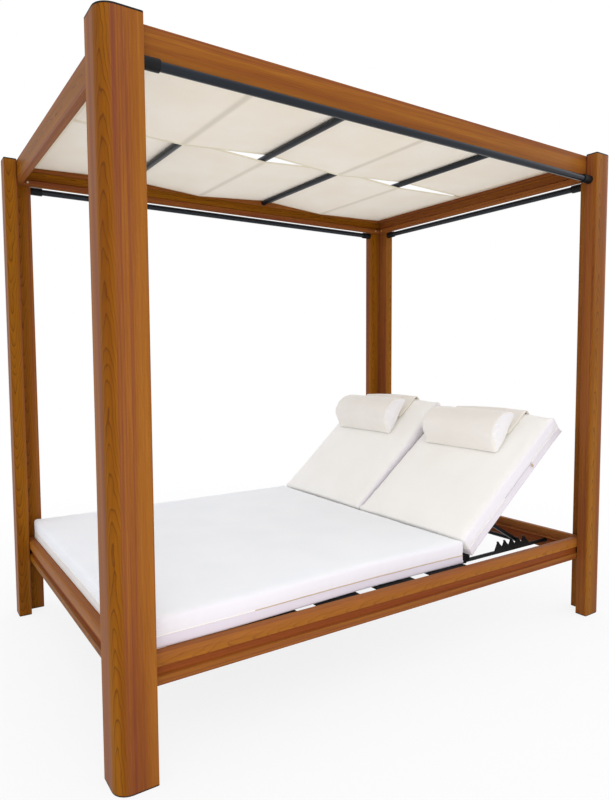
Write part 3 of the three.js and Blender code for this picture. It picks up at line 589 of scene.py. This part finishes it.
def settle_pad(cover, seed, span_x, span_y, strength, meeting_end):
    """Puckers along a pad's borders, slow hollows over its top, a groove at its seam, a flat underside.

    Where the mattress and a back cushion meet, their ends are pressed flat.
    """
    square_up(cover, span_x, span_y, meeting_end)
    mesh = cover.data
    mesh.update()
    normals = [vertex.normal.copy() for vertex in mesh.vertices]
    for vertex, normal in zip(mesh.vertices, normals):
        x, y, z = vertex.co
        edge = min(span_x / 2 - abs(x), span_y / 2 - abs(y))
        on_side = 1 - smoothstep(0.0, SIDE_REACH, edge)
        on_round = math.exp(-(((edge - ROUND_AT) / ROUND_WIDTH) ** 2))
        pucker = PUCKER * on_side * noise.noise(Vector((x * 38, y * 38, z * 6 + seed)))
        slow = ROUND_HOLLOW * on_round * noise.noise(Vector((x * 14, y * 14, seed)))
        broad = TOP_HOLLOW * (1 - on_side) * noise.noise(Vector((x * 3.2, y * 3.2, seed * 1.7)))
        at_seam = math.exp(-(((z - PAD_SEAM) / SEAM_HALF_WIDTH) ** 2))
        groove = SEAM_GROOVE * at_seam * (1 - smoothstep(*GROOVE_REACH, edge))
        if z > PAD_SEAM * 0.4:
            vertex.co += normal * (strength * (pucker + slow + broad) - groove)
        vertex.co.z = max(vertex.co.z, 0.0)
        if vertex.co.x * meeting_end > span_x / 2:
            vertex.co.x = meeting_end * span_x / 2
    mesh.update()


def border_below_seam(cover, border):
    """The border panel under the seam is its own strip of cloth."""
    cover.data.materials.append(border)
    for polygon in cover.data.polygons:
        polygon.material_index = 1 if polygon.center.z < PAD_SEAM else 0


SEAM_LIFT = 0.4 * MM
DISC_SEAM_LIFT = 0.2 * MM


def laid_on(cover, points, lift):
    """The points moved to the nearest places on a cover, a little above its skin."""
    mesh = cover.data
    skin = BVHTree.FromPolygons([v.co for v in mesh.vertices], [p.vertices[:] for p in mesh.polygons])
    line = []
    for point in points:
        near, normal, _, _ = skin.find_nearest(point)
        line.append(near + normal * lift)
    return line


def seam_line(cover, span_x, span_y, pull, per_side):
    """Points round a pad's seam, laid on the cover itself."""
    half_x, half_y = span_x / 2, span_y / 2
    loop = rounded_loop(half_x, half_y, PAD_CORNER, per_side)
    points = [Vector((*drawn_in(x, y, half_x, half_y, pull), PAD_SEAM)) for x, y in loop]
    return laid_on(cover, points, SEAM_LIFT)


def split_seam(seam, is_zip):
    """Cuts a closed seam into its zipped stretch and its piped stretch."""
    first = next(i for i, point in enumerate(seam) if is_zip(seam[i - 1]) and not is_zip(point))
    turned = seam[first:] + seam[:first]
    piped = [point for point in turned if not is_zip(point)]
    return [piped[-1]] + [point for point in turned if is_zip(point)] + [piped[0]], piped


def put_in_place(obj, matrix, body):
    """Moves a piece from its own frame to its place on its body."""
    obj.data.transform(matrix)
    obj.data.update()
    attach(obj, body)


BOLSTER_PROFILE = [
    (-14, 1), (-8, 18), (3, 54), (14, 80), (34, 102), (60, 112), (88, 115), (124, 110), (150, 97),
    (171, 80), (186, 58), (175, 49), (147, 42), (113, 31), (79, 17), (47, 8), (14, 3),
]
BOLSTER_START = 478
BOLSTER_RISE = 96.5
BOLSTER_WIDTH = 434
BOLSTER_OFFSET = {"left": 20, "right": 43}
BOLSTER_CENTRE = Vector((92, 58))
BOLSTER_HALF = BOLSTER_WIDTH / 2 - FILL_ALLOWANCE / MM
SHOULDERS = [(BOLSTER_HALF, 0.97), (BOLSTER_HALF - 2, 0.995), (BOLSTER_HALF - 6, 1.0)]
DISC_RINGS = [(0.8, 2.5), (0.55, 5.0), (0.28, 6.5)]
PROFILE_STEPS = 4
BODY_SLICES = 25
LUMP = 1.4


def closed_spline(points, steps):
    """A smooth closed curve through the points."""
    made = []
    for i in range(len(points)):
        p0, p1, p2, p3 = (Vector(points[(i + k - 1) % len(points)]) for k in range(4))
        for t in (s / steps for s in range(steps)):
            bend = (2 * p0 - 5 * p1 + 4 * p2 - p3) * t * t
            twist = (3 * p1 - p0 - 3 * p2 + p3) * t * t * t
            made.append(0.5 * (2 * p1 + (p2 - p0) * t + bend + twist))
    return made


def bolster(side):
    """A filled roll, in the cushion's own frame: an oval body between two sewn-in end discs."""
    section = closed_spline(BOLSTER_PROFILE, PROFILE_STEPS)
    inner = BOLSTER_HALF - 20
    body = [(inner - 2 * inner * k / (BODY_SLICES - 1), 1.0) for k in range(BODY_SLICES)]
    slices = SHOULDERS + body + [(-y, share) for y, share in reversed(SHOULDERS)]
    verts, faces = [], []

    def station(y, share):
        for point in section:
            reach = (point - BOLSTER_CENTRE) * share
            lump = LUMP * noise.noise(Vector((point.x * 0.02, y * 0.016, BOLSTER_OFFSET[side])))
            place = BOLSTER_CENTRE + reach + reach.normalized() * lump
            along, out = BOLSTER_START + place.x, BOLSTER_RISE + place.y
            verts.append((along * MM, (y + BOLSTER_OFFSET[side]) * MM, out * MM))

    for y, share in slices:
        station(y, share)
    count = len(section)

    def bridge(first, second):
        for k in range(count):
            n = (k + 1) % count
            faces.append((first + k, first + n, second + n, second + k))

    for ring in range(len(slices) - 1):
        bridge(ring * count, (ring + 1) * count)
    for sign, outline in ((1, 0), (-1, (len(slices) - 1) * count)):
        for share, bulge in DISC_RINGS:
            start = len(verts)
            station(sign * (BOLSTER_HALF + bulge), share * 0.95)
            bridge(outline, start)
            outline = start
        faces.append(tuple(range(outline, outline + count)))
    return mesh_object("bolster_cover_" + side, verts, faces, bolster_cloth)


DISC_GATHERS = 15
GATHER_DEPTH = 1.5 * MM
DISC_HALF_LONG, DISC_HALF_HIGH = 88, 55


def finish_bolster(cover, side):
    """Gathers the end discs along their seams and gives them their own cloth."""
    mesh = cover.data
    for vertex in mesh.vertices:
        y = vertex.co.y / MM - BOLSTER_OFFSET[side]
        a = vertex.co.x / MM - BOLSTER_START - BOLSTER_CENTRE.x
        b = vertex.co.z / MM - BOLSTER_RISE - BOLSTER_CENTRE.y
        angle, reach = math.atan2(b, a), math.hypot(a / DISC_HALF_LONG, b / DISC_HALF_HIGH)
        on_disc = smoothstep(BOLSTER_HALF - 6, BOLSTER_HALF + 2, abs(y))
        gather = math.sin(angle * DISC_GATHERS) * smoothstep(0.35, 0.85, reach)
        vertex.co.y += math.copysign(GATHER_DEPTH * gather * on_disc, y)
    mesh.materials.append(bolster_disc)
    for polygon in mesh.polygons:
        facing = abs(polygon.normal.y) > 0.75
        polygon.material_index = 1 if facing else 0
    mesh.update()


def disc_seam(cover, side, sign):
    """The seam round one end of a bolster, laid on its cover."""
    y = sign * (BOLSTER_WIDTH / 2 - 2) + BOLSTER_OFFSET[side]
    points = []
    for point in closed_spline(BOLSTER_PROFILE, PROFILE_STEPS):
        place = BOLSTER_CENTRE + (point - BOLSTER_CENTRE) * 0.985
        points.append(Vector((BOLSTER_START + place.x, y, BOLSTER_RISE + place.y)) * MM)
    return laid_on(cover, points, DISC_SEAM_LIFT)


seat_low, seat_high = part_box("seat_mattress")
SEAT_SPAN = (seat_high.x - seat_low.x, seat_high.y - seat_low.y)
CUSHION_SPAN = (728 * MM, 654 * MM)
SEAT_PULL, CUSHION_PULL = 3 * MM, 3.5 * MM
SEAT_STEPS, CUSHION_STEPS = 60, 36
SIDES = ("left", "right")

seat = boxed_pad("seat_mattress_cover", *SEAT_SPAN, SEAT_PULL, SEAT_STEPS, seat_cloth)
cushions = {}
for side in SIDES:
    cushion_name = "back_cushion_cover_" + side
    cushions[side] = boxed_pad(cushion_name, *CUSHION_SPAN, CUSHION_PULL, CUSHION_STEPS, back_cloth)
bolsters = {side: bolster(side) for side in SIDES}
fill([seat], voxel=10 * MM, quality=2)
fill(list(cushions.values()), voxel=6 * MM, quality=3)
fill(list(bolsters.values()), voxel=4 * MM, quality=3)
for roll in bolsters.values():
    roll.modifiers.new("smooth_cover", "SUBSURF").levels = 1
    bake_modifiers(roll)

HEAD_BULGE = 12 * MM
HEAD_RISE = 14 * MM


def plumped(point):
    """A back cushion, drawn about its middle, stands out and up between the corners of its head end."""
    x, y, z = point
    between_corners = max(1 - (2 * y / CUSHION_SPAN[1]) ** 2, 0.0)
    headward = smoothstep(0.3, 1.0, 2 * x / CUSHION_SPAN[0]) * between_corners
    raised = HEAD_RISE * headward * smoothstep(0.3, 1.0, z / PAD_THICKNESS)
    return Vector((x + HEAD_BULGE * headward, y, z + raised))


# Seat mattress

SEAT_SKEW = 26 * MM
SEAT_SET_IN = 9 * MM
SEAT_FOOT_OUT = 4.5 * MM
SKEW_STRETCH = (200 * MM, 950 * MM)
SEAT_ZIP_START = -617 * MM
NEAR_SIDE = 20 * MM
PIPING_RADIUS = 1.5 * MM


def lay_askew(point):
    """The mattress lies askew: its near side stands out towards the foot and is set in at the backs."""
    out = SEAT_SKEW * (1 - smoothstep(*SKEW_STRETCH, point.x + SEAT_SPAN[0] / 2)) - SEAT_SET_IN
    near_share = max(-2 * point.y / SEAT_SPAN[1], 0.0)
    foot_share = smoothstep(0.0, 1.0, -2 * point.x / SEAT_SPAN[0])
    return Vector((point.x - SEAT_FOOT_OUT * foot_share, point.y - out * near_share, point.z))


seat_middle = (seat_low + seat_high) / 2
seat_matrix = Matrix.Translation((seat_middle.x, seat_middle.y, seat_low.z))
settle_pad(seat, 3.1, *SEAT_SPAN, strength=1.0, meeting_end=1)
border_below_seam(seat, seat_border)
for vertex in seat.data.vertices:
    vertex.co = lay_askew(vertex.co)


def is_seat_zip(point):
    on_near_side = point.y < NEAR_SIDE - SEAT_SPAN[1] / 2
    return on_near_side and point.x > SEAT_ZIP_START - seat_matrix.translation.x


seat_seam = seam_line(seat, *SEAT_SPAN, SEAT_PULL, SEAT_STEPS)
zipped, piped = split_seam(seat_seam, is_seat_zip)
seat_zip = cord_along("seat_zip", zipped, 1.6 * MM, zip_tape)
seat_piping = cord_along("seat_piping", piped, PIPING_RADIUS, piping_cloth)
for piece in (seat_zip, seat_piping, seat):
    put_in_place(piece, seat_matrix, "bed_frame")
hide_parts("seat_mattress")


# Reclining backs: cushion, bolster and flap, in the back's own frame

CUSHION_FLAT_START = -40 * MM
CUSHION_TRAVEL = 95 * MM
CUSHION_FLOOR = 13 * MM


def back_matrix(side):
    """From the cushion's own frame, X up the slope, Y across and Z out of it, to its place at rest."""
    hinge = joints[f"backrest_{side}_hinge"]
    rest = math.radians(-hinge["range_deg"][0])
    along = Vector((math.cos(rest), 0, math.sin(rest)))
    out = Vector((-math.sin(rest), 0, math.cos(rest)))
    slid = CUSHION_FLAT_START + CUSHION_TRAVEL * rest
    start = Vector(hinge["pos_m"]) + along * slid + out * CUSHION_FLOOR
    turned = Matrix((along, (0, 1, 0), out)).transposed().to_4x4()
    return Matrix.Translation(start) @ turned


def doubled_sheet(name, layers, is_hem, cloth, hem):
    """A closed sheet from its upper and its lower rows of points, with hem on its edge faces.

    The test says of each cell, by its row and column, whether it is hem as well.
    """
    rows, cols = len(layers[0]), len(layers[0][0])
    size = rows * cols
    faces, hemmed = [], []
    for i in range(rows - 1):
        for k in range(cols - 1):
            a = i * cols + k
            b = size + a
            faces += [(a, a + 1, a + cols + 1, a + cols), (b, b + cols, b + cols + 1, b + 1)]
            hemmed += [is_hem(i, k)] * 2
        for k in (0, cols - 1):
            a = i * cols + k
            faces.append((a, a + cols, size + a + cols, size + a))
            hemmed.append(True)
    for k in range(cols - 1):
        for i in (0, rows - 1):
            a = i * cols + k
            faces.append((a, a + 1, size + a + 1, size + a))
            hemmed.append(True)
    verts = [point for layer in layers for row in layer for point in row]
    made = mesh_object(name, verts, faces, cloth)
    made.data.materials.append(hem)
    for polygon, in_hem in zip(made.data.polygons, hemmed):
        polygon.material_index = 1 if in_hem else 0
    return made


# Flap sizes in mm, like the bolster's
FLAP_LIFT = 5
FLAP_BEND = 8
FLAP_SET_IN = 9
FLAP_COLUMNS = 32
FLAP_HEM_COLUMNS = 2
FLAP_HALF_THICKNESS = 1.0
FLAP_HEM_EXTRA = 0.7
FLAP_WAVE = 0.8
BEND_STEPS = 6


def flap_path():
    """The strap's middle line in mm: from behind the bolster, over the cushion's head end and down."""
    top, end = PAD_THICKNESS / MM, CUSHION_SPAN[0] / MM
    path = [(578, top + 15), (606, top + 11), (640, top + 8), (676, top + 6), (end - 20, top + FLAP_LIFT)]
    for step in range(BEND_STEPS + 1):
        angle = math.pi / 2 * (1 - step / BEND_STEPS)
        fall = FLAP_BEND * (math.sin(angle) - 1)
        path.append((end - 3.5 + FLAP_BEND * math.cos(angle), top + FLAP_LIFT + fall))
    return path + [(end + 4.5, top - 18), (end + 4, top - 36), (end + 3.5, top - 56)]


def flap(side):
    """A doubled cloth strap, 2 mm thick with a turned hem along both sides, and its flat size."""
    path = flap_path()
    middle = Vector((CUSHION_SPAN[0] / 2, 0, 0))
    half = BOLSTER_WIDTH / 2 - FLAP_SET_IN

    def over_cushion(s, y, n):
        """A place on the strap, drawn about the cushion's middle and plumped with it."""
        return plumped(Vector((s, y + BOLSTER_OFFSET[side], n)) * MM - middle)

    layers = []
    for layer in (1, -1):
        rows = []
        for i, (s, n) in enumerate(path):
            before, after = path[max(i - 1, 0)], path[min(i + 1, len(path) - 1)]
            direction = Vector((after[0] - before[0], after[1] - before[1])).normalized()
            normal = Vector((-direction.y, direction.x))
            row = []
            for k in range(FLAP_COLUMNS + 1):
                y = -half + 2 * half * k / FLAP_COLUMNS
                wave = FLAP_WAVE * noise.noise(Vector((s * 0.02, y * 0.018, 2.0)))
                in_hem = min(k, FLAP_COLUMNS - k) < FLAP_HEM_COLUMNS
                thick = FLAP_HALF_THICKNESS + (FLAP_HEM_EXTRA if in_hem else 0)
                offset = normal * (layer * thick + max(wave, -FLAP_WAVE / 2))
                row.append(over_cushion(s + offset.x, y, n + offset.y) + middle)
            rows.append(row)
        layers.append(rows)
    made = doubled_sheet("flap_cover_" + side, layers, lambda i, k: False, bolster_cloth, flap_hem_in_shade)
    line = [over_cushion(s, 0, n) for s, n in path]
    length = sum(math.dist(a, b) for a, b in zip(line, line[1:]))
    return made, (2 * half * MM, length)


TAB_SIZE = (9 * MM, 2.4 * MM, 15 * MM)
TAB_ROUND = 0.9 * MM


def zip_puller(name, place):
    """A short tab of zip tape that hangs from the zip's slide, its edges rounded."""
    bm = bmesh.new()
    bmesh.ops.create_cube(bm, size=1.0)
    bmesh.ops.scale(bm, vec=TAB_SIZE, verts=bm.verts)
    bmesh.ops.bevel(bm, geom=bm.edges[:], offset=TAB_ROUND, segments=2, profile=0.5, affect="EDGES")
    bmesh.ops.translate(bm, vec=place, verts=bm.verts)
    mesh = bpy.data.meshes.new(name)
    bm.to_mesh(mesh)
    bm.free()
    mesh.shade_smooth()
    mesh.materials.append(zip_tape)
    return show(bpy.data.objects.new(name, mesh))


# The stretch of a back cushion's zip, from the cushion's foot end
BACK_ZIP = (300 * MM, 490 * MM)
CUSHION_SEEDS = {"left": 7.7, "right": 12.3}


def is_back_zip(point):
    on_near_side = point.y < NEAR_SIDE - CUSHION_SPAN[1] / 2
    return on_near_side and BACK_ZIP[0] < point.x + CUSHION_SPAN[0] / 2 < BACK_ZIP[1]


for side in SIDES:
    matrix = back_matrix(side)
    body = "cushion_" + side
    cover = cushions[side]
    settle_pad(cover, CUSHION_SEEDS[side], *CUSHION_SPAN, strength=1.2, meeting_end=-1)
    for vertex in cover.data.vertices:
        vertex.co = plumped(vertex.co)
    border_below_seam(cover, back_border)
    about_middle = matrix @ Matrix.Translation((CUSHION_SPAN[0] / 2, 0, 0))
    zipped, piped = split_seam(seam_line(cover, *CUSHION_SPAN, CUSHION_PULL, CUSHION_STEPS), is_back_zip)
    back_zip = cord_along("back_zip_" + side, zipped, 0.8 * MM, zip_shade)
    back_piping = cord_along("back_piping_" + side, piped, PIPING_RADIUS, piping_cloth)
    for piece in (back_zip, back_piping, cover):
        put_in_place(piece, about_middle, body)
    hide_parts("back_cushion_" + side)

    roll = bolsters[side]
    finish_bolster(roll, side)
    for end, sign in (("near", -1), ("far", 1)):
        seam = disc_seam(roll, side, sign)
        cord = cord_along(f"bolster_seam_{side}_{end}", seam, 1.1 * MM, piping_cloth, closed=True)
        put_in_place(cord, matrix, body)
    put_in_place(roll, matrix, body)
    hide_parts("bolster_" + side)

    strap, strap_flat = flap(side)
    put_in_place(strap, matrix, body)
    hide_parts("bolster_flap_" + side)

puller_place = (BACK_ZIP[1] + 2 * MM, -CUSHION_SPAN[1] / 2 - TAB_SIZE[1] / 2, 24 * MM)
puller = zip_puller("back_zip_puller", puller_place)
put_in_place(puller, back_matrix("left"), "cushion_left")


# Canopy bands: one sheet each, with turned hems on every edge

# Band sizes in mm
BAND_THICKNESS = 1.1
HEM_THICKNESS = 1.8
HEM_LONG = 16
HEM_SHORT = 36
HEM_ROWS = (0, 0.5, 1.0, 1.06)
BAR_RADIUS = 12.5
BAR_CLEARANCE = 0.5
BAR_STEPS = (3, 6, 10, 14)
KNOT_STEPS = 20
WIDTH_STEPS = 22
BAND_WAVE = 1.6
BAND_SEEDS = {"left": 4.0, "right": 8.0}
SLACK_REACH = 180
bars = [sum(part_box(f"shade_bar_{k}"), Vector()) / 2 for k in range(1, 5)]


def band(side, cloth):
    """A canopy band woven over and under the four bars, and its flat size."""
    low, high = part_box("shade_band_" + side)
    bar_z = bars[0].z
    swing = (BAR_RADIUS + BAR_CLEARANCE + BAND_THICKNESS / 2) * MM
    first = -1 if side == "left" else 1
    over_under = [(bar.x, bar_z + first * (-1) ** k * swing) for k, bar in enumerate(bars)]
    knots = [(low.x, bar_z), *over_under, (high.x, bar_z)]
    xs = {high.x}
    for (x0, _), (x1, _) in zip(knots, knots[1:]):
        xs.update(x0 + (x1 - x0) * step / KNOT_STEPS for step in range(KNOT_STEPS))
    xs.update(bar.x + sign * step * MM for bar in bars for step in BAR_STEPS for sign in (-1, 1))
    for edge in (HEM_SHORT * MM, (HEM_SHORT + 1) * MM):
        xs.update((low.x + edge, high.x - edge))
    xs = sorted(xs)
    hem_rows = [HEM_LONG * MM * s for s in HEM_ROWS]
    ys = {low.y + (high.y - low.y) * k / WIDTH_STEPS for k in range(1, WIDTH_STEPS)}
    ys = sorted(ys | {low.y + s for s in hem_rows} | {high.y - s for s in hem_rows})

    def middle(x):
        for (x0, z0), (x1, z1) in zip(knots, knots[1:]):
            if x <= x1 + 1e-9:
                return z0 + (z1 - z0) * (x - x0) / (x1 - x0)
        return knots[-1][1]

    def height(x, y):
        slack = min(min(abs(x - bar.x) for bar in bars) / (SLACK_REACH * MM), 1.0)
        wave = BAND_WAVE * MM * noise.noise(Vector((x * 4.0, y * 3.0, BAND_SEEDS[side])))
        return middle(x) + wave * slack

    def in_hem(x, y, spare=0.0):
        from_long = min(y - low.y, high.y - y)
        from_short = min(x - low.x, high.x - x)
        return from_long < HEM_LONG * MM + spare or from_short < HEM_SHORT * MM + spare

    def is_hem(i, k):
        return in_hem((xs[i] + xs[i + 1]) / 2, (ys[k] + ys[k + 1]) / 2)

    def point(x, y, layer):
        thick = HEM_THICKNESS if in_hem(x, y, 0.1 * MM) else BAND_THICKNESS
        return (x, y, height(x, y) + layer * thick / 2 * MM)

    layers = [[[point(x, y, layer) for y in ys] for x in xs] for layer in (1, -1)]
    made = doubled_sheet("canopy_band_" + side, layers, is_hem, cloth, canopy_hem)
    line = [(x, middle(x)) for x in xs]
    length = sum(math.dist(a, b) for a, b in zip(line, line[1:]))
    return made, (high.y - low.y, length)


for side in SIDES:
    under_bars = [bar.x for bar in bars[0 if side == "left" else 1 :: 2]]
    # The bars this band lies under are painted on it as soft shadow lines
    cloth = woven_cloth("woven_cream_acrylic_" + side, THREAD, "#F8F1E2", "#F2E8D4", 0.25, under_bars)
    sheet, sheet_flat = band(side, cloth)
    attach(sheet, "bed_frame")
    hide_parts("shade_band_" + side)


# Screws low on the inner faces of the beams, beside each mitre

# A head's outline: radius and height in mm
SCREW_HEAD = [(2.6, 1.7), (3.9, 1.3), (4.8, 0.5), (5.0, 0.0)]
SCREW_Z = 1.918
MITRE = (1.0157, 0.6867)
SCREW_IN = 23 * MM
SCREW_SIDES = 20


def screw(name, place, facing):
    """A low round screw head at a place on a beam's face."""
    bm = bmesh.new()
    layers = []
    for radius, height in SCREW_HEAD:
        angles = [2 * math.pi * k / SCREW_SIDES for k in range(SCREW_SIDES)]
        layers.append([bm.verts.new((radius * math.cos(a), radius * math.sin(a), height)) for a in angles])
    for inner, outer in zip(layers, layers[1:]):
        for k in range(SCREW_SIDES):
            n = (k + 1) % SCREW_SIDES
            bm.faces.new((inner[k], outer[k], outer[n], inner[n]))
    bm.faces.new(layers[0])
    bm.faces.new(list(reversed(layers[-1])))
    bmesh.ops.recalc_face_normals(bm, faces=bm.faces)
    mesh = bpy.data.meshes.new(name)
    bm.to_mesh(mesh)
    bm.free()
    mesh.materials.append(screw_metal)
    turn = Vector(facing).to_track_quat("Z", "Y").to_matrix().to_4x4()
    mesh.transform(Matrix.Translation(place) @ turn @ Matrix.Scale(MM, 4))
    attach(show(bpy.data.objects.new(name, mesh)), "bed_frame")


for sign_x, end in ((-1, "foot"), (1, "head")):
    for sign_y, side in ((-1, "left"), (1, "right")):
        mitre_x, mitre_y = sign_x * MITRE[0], sign_y * MITRE[1]
        screw(f"screw_{end}_beam_{side}", (mitre_x, mitre_y - sign_y * SCREW_IN, SCREW_Z), (-sign_x, 0, 0))
        screw(f"screw_{side}_beam_{end}", (mitre_x - sign_x * SCREW_IN, mitre_y, SCREW_Z), (0, -sign_y, 0))


# Floor, light and camera

floor_mesh = bpy.data.meshes.new("studio_floor")
floor_corners = [(-30, -30, 0), (30, -30, 0), (30, 30, 0), (-30, 30, 0)]
floor_mesh.from_pydata(floor_corners, [], [(0, 1, 2, 3)])
floor = show(bpy.data.objects.new("studio_floor", floor_mesh))
floor_paint, put, floor_surface, _ = start_material("painted_pale_studio_floor", 0.9)
floor_surface.inputs["Base Color"].default_value = linear("#F0F0F0")
distance = put("VectorMath", {0: put("TexCoord").outputs["Object"]}, operation="LENGTH")
path = put("LightPath").outputs
seen = put("Math", {0: path["Is Camera Ray"], 1: path["Is Glossy Ray"]}, operation="MAXIMUM")
faded = put("MapRange", ramp(distance, 1.2, 3.4, 0.84, 1.0), **SMOOTH)
white_share = put("Math", {0: faded, 1: seen}, operation="MULTIPLY")
white = put("Emission", {"Color": (1, 1, 1, 1), "Strength": 1.0})
floor_mix = put("MixShader", {0: white_share, 1: floor_surface, 2: white})
put("OutputMaterial", {"Surface": floor_mix}, is_active_output=True)
floor_mesh.materials.append(floor_paint)

world = bpy.data.worlds.new("soft_studio")
bpy.context.scene.world = world
world.use_nodes = True
world.node_tree.nodes.clear()
put = partial(add, world.node_tree)
path = put("LightPath").outputs
seen = put("Math", {0: path["Is Camera Ray"], 1: path["Is Transmission Ray"]}, operation="MAXIMUM")
dome = put("Background", {"Color": linear("#F8F9FF"), "Strength": 1.0})
plain = put("Background", {"Color": (1, 1, 1, 1), "Strength": 1.0})
put("OutputWorld", {"Surface": put("MixShader", {0: seen, 1: dome, 2: plain})})


def softbox(name, location, target, size, power, colour):
    """A rectangular light that faces its target; places and sizes in m, power in W."""
    light = bpy.data.lights.new(name, "AREA")
    light.shape = "RECTANGLE"
    light.size, light.size_y = size
    light.energy = power
    light.color = linear(colour)[:3]
    made = show(bpy.data.objects.new(name, light))
    made.location = location
    made.rotation_mode = "QUATERNION"
    made.rotation_quaternion = (Vector(target) - Vector(location)).to_track_quat("-Z", "Y")


softbox("front_softbox", (-1.6, -4.2, 3.8), (0.1, 0, 0.8), (3.0, 2.4), 40, "#FFFDF8")
softbox("head_softbox", (5.0, -1.6, 3.0), (0.2, 0, 0.8), (2.6, 2.2), 30, "#FFFFFF")
softbox("low_fill", (-1.4, -2.9, 0.2), (0.3, 0.1, 1.95), (2.0, 1.2), 18, "#FFF8EE")

CAMERA_PLACE = Vector((-1.5418, -2.3208, 1.1412))
YAW, PITCH, ROLL = math.radians(56.345), math.radians(3.807), math.radians(-0.284)
FOCAL_SHARE = 627.23 / 800
SENSOR_WIDTH = 36
ahead = Vector((math.cos(YAW) * math.cos(PITCH), math.sin(YAW) * math.cos(PITCH), -math.sin(PITCH)))
level_right = Vector((math.sin(YAW), -math.cos(YAW), 0))
level_up = level_right.cross(ahead)
right = level_right * math.cos(ROLL) + level_up * math.sin(ROLL)
up = level_up * math.cos(ROLL) - level_right * math.sin(ROLL)
camera_data = bpy.data.cameras.new("camera")
camera_data.sensor_fit = "AUTO"
camera_data.sensor_width = SENSOR_WIDTH
camera_data.lens = SENSOR_WIDTH * FOCAL_SHARE
camera = show(bpy.data.objects.new("camera", camera_data))
turned = Matrix((right, up, -ahead)).transposed().to_4x4()
camera.matrix_world = Matrix.Translation(CAMERA_PLACE) @ turned
bpy.context.scene.camera = camera
bpy.context.scene.view_settings.view_transform = "Standard"
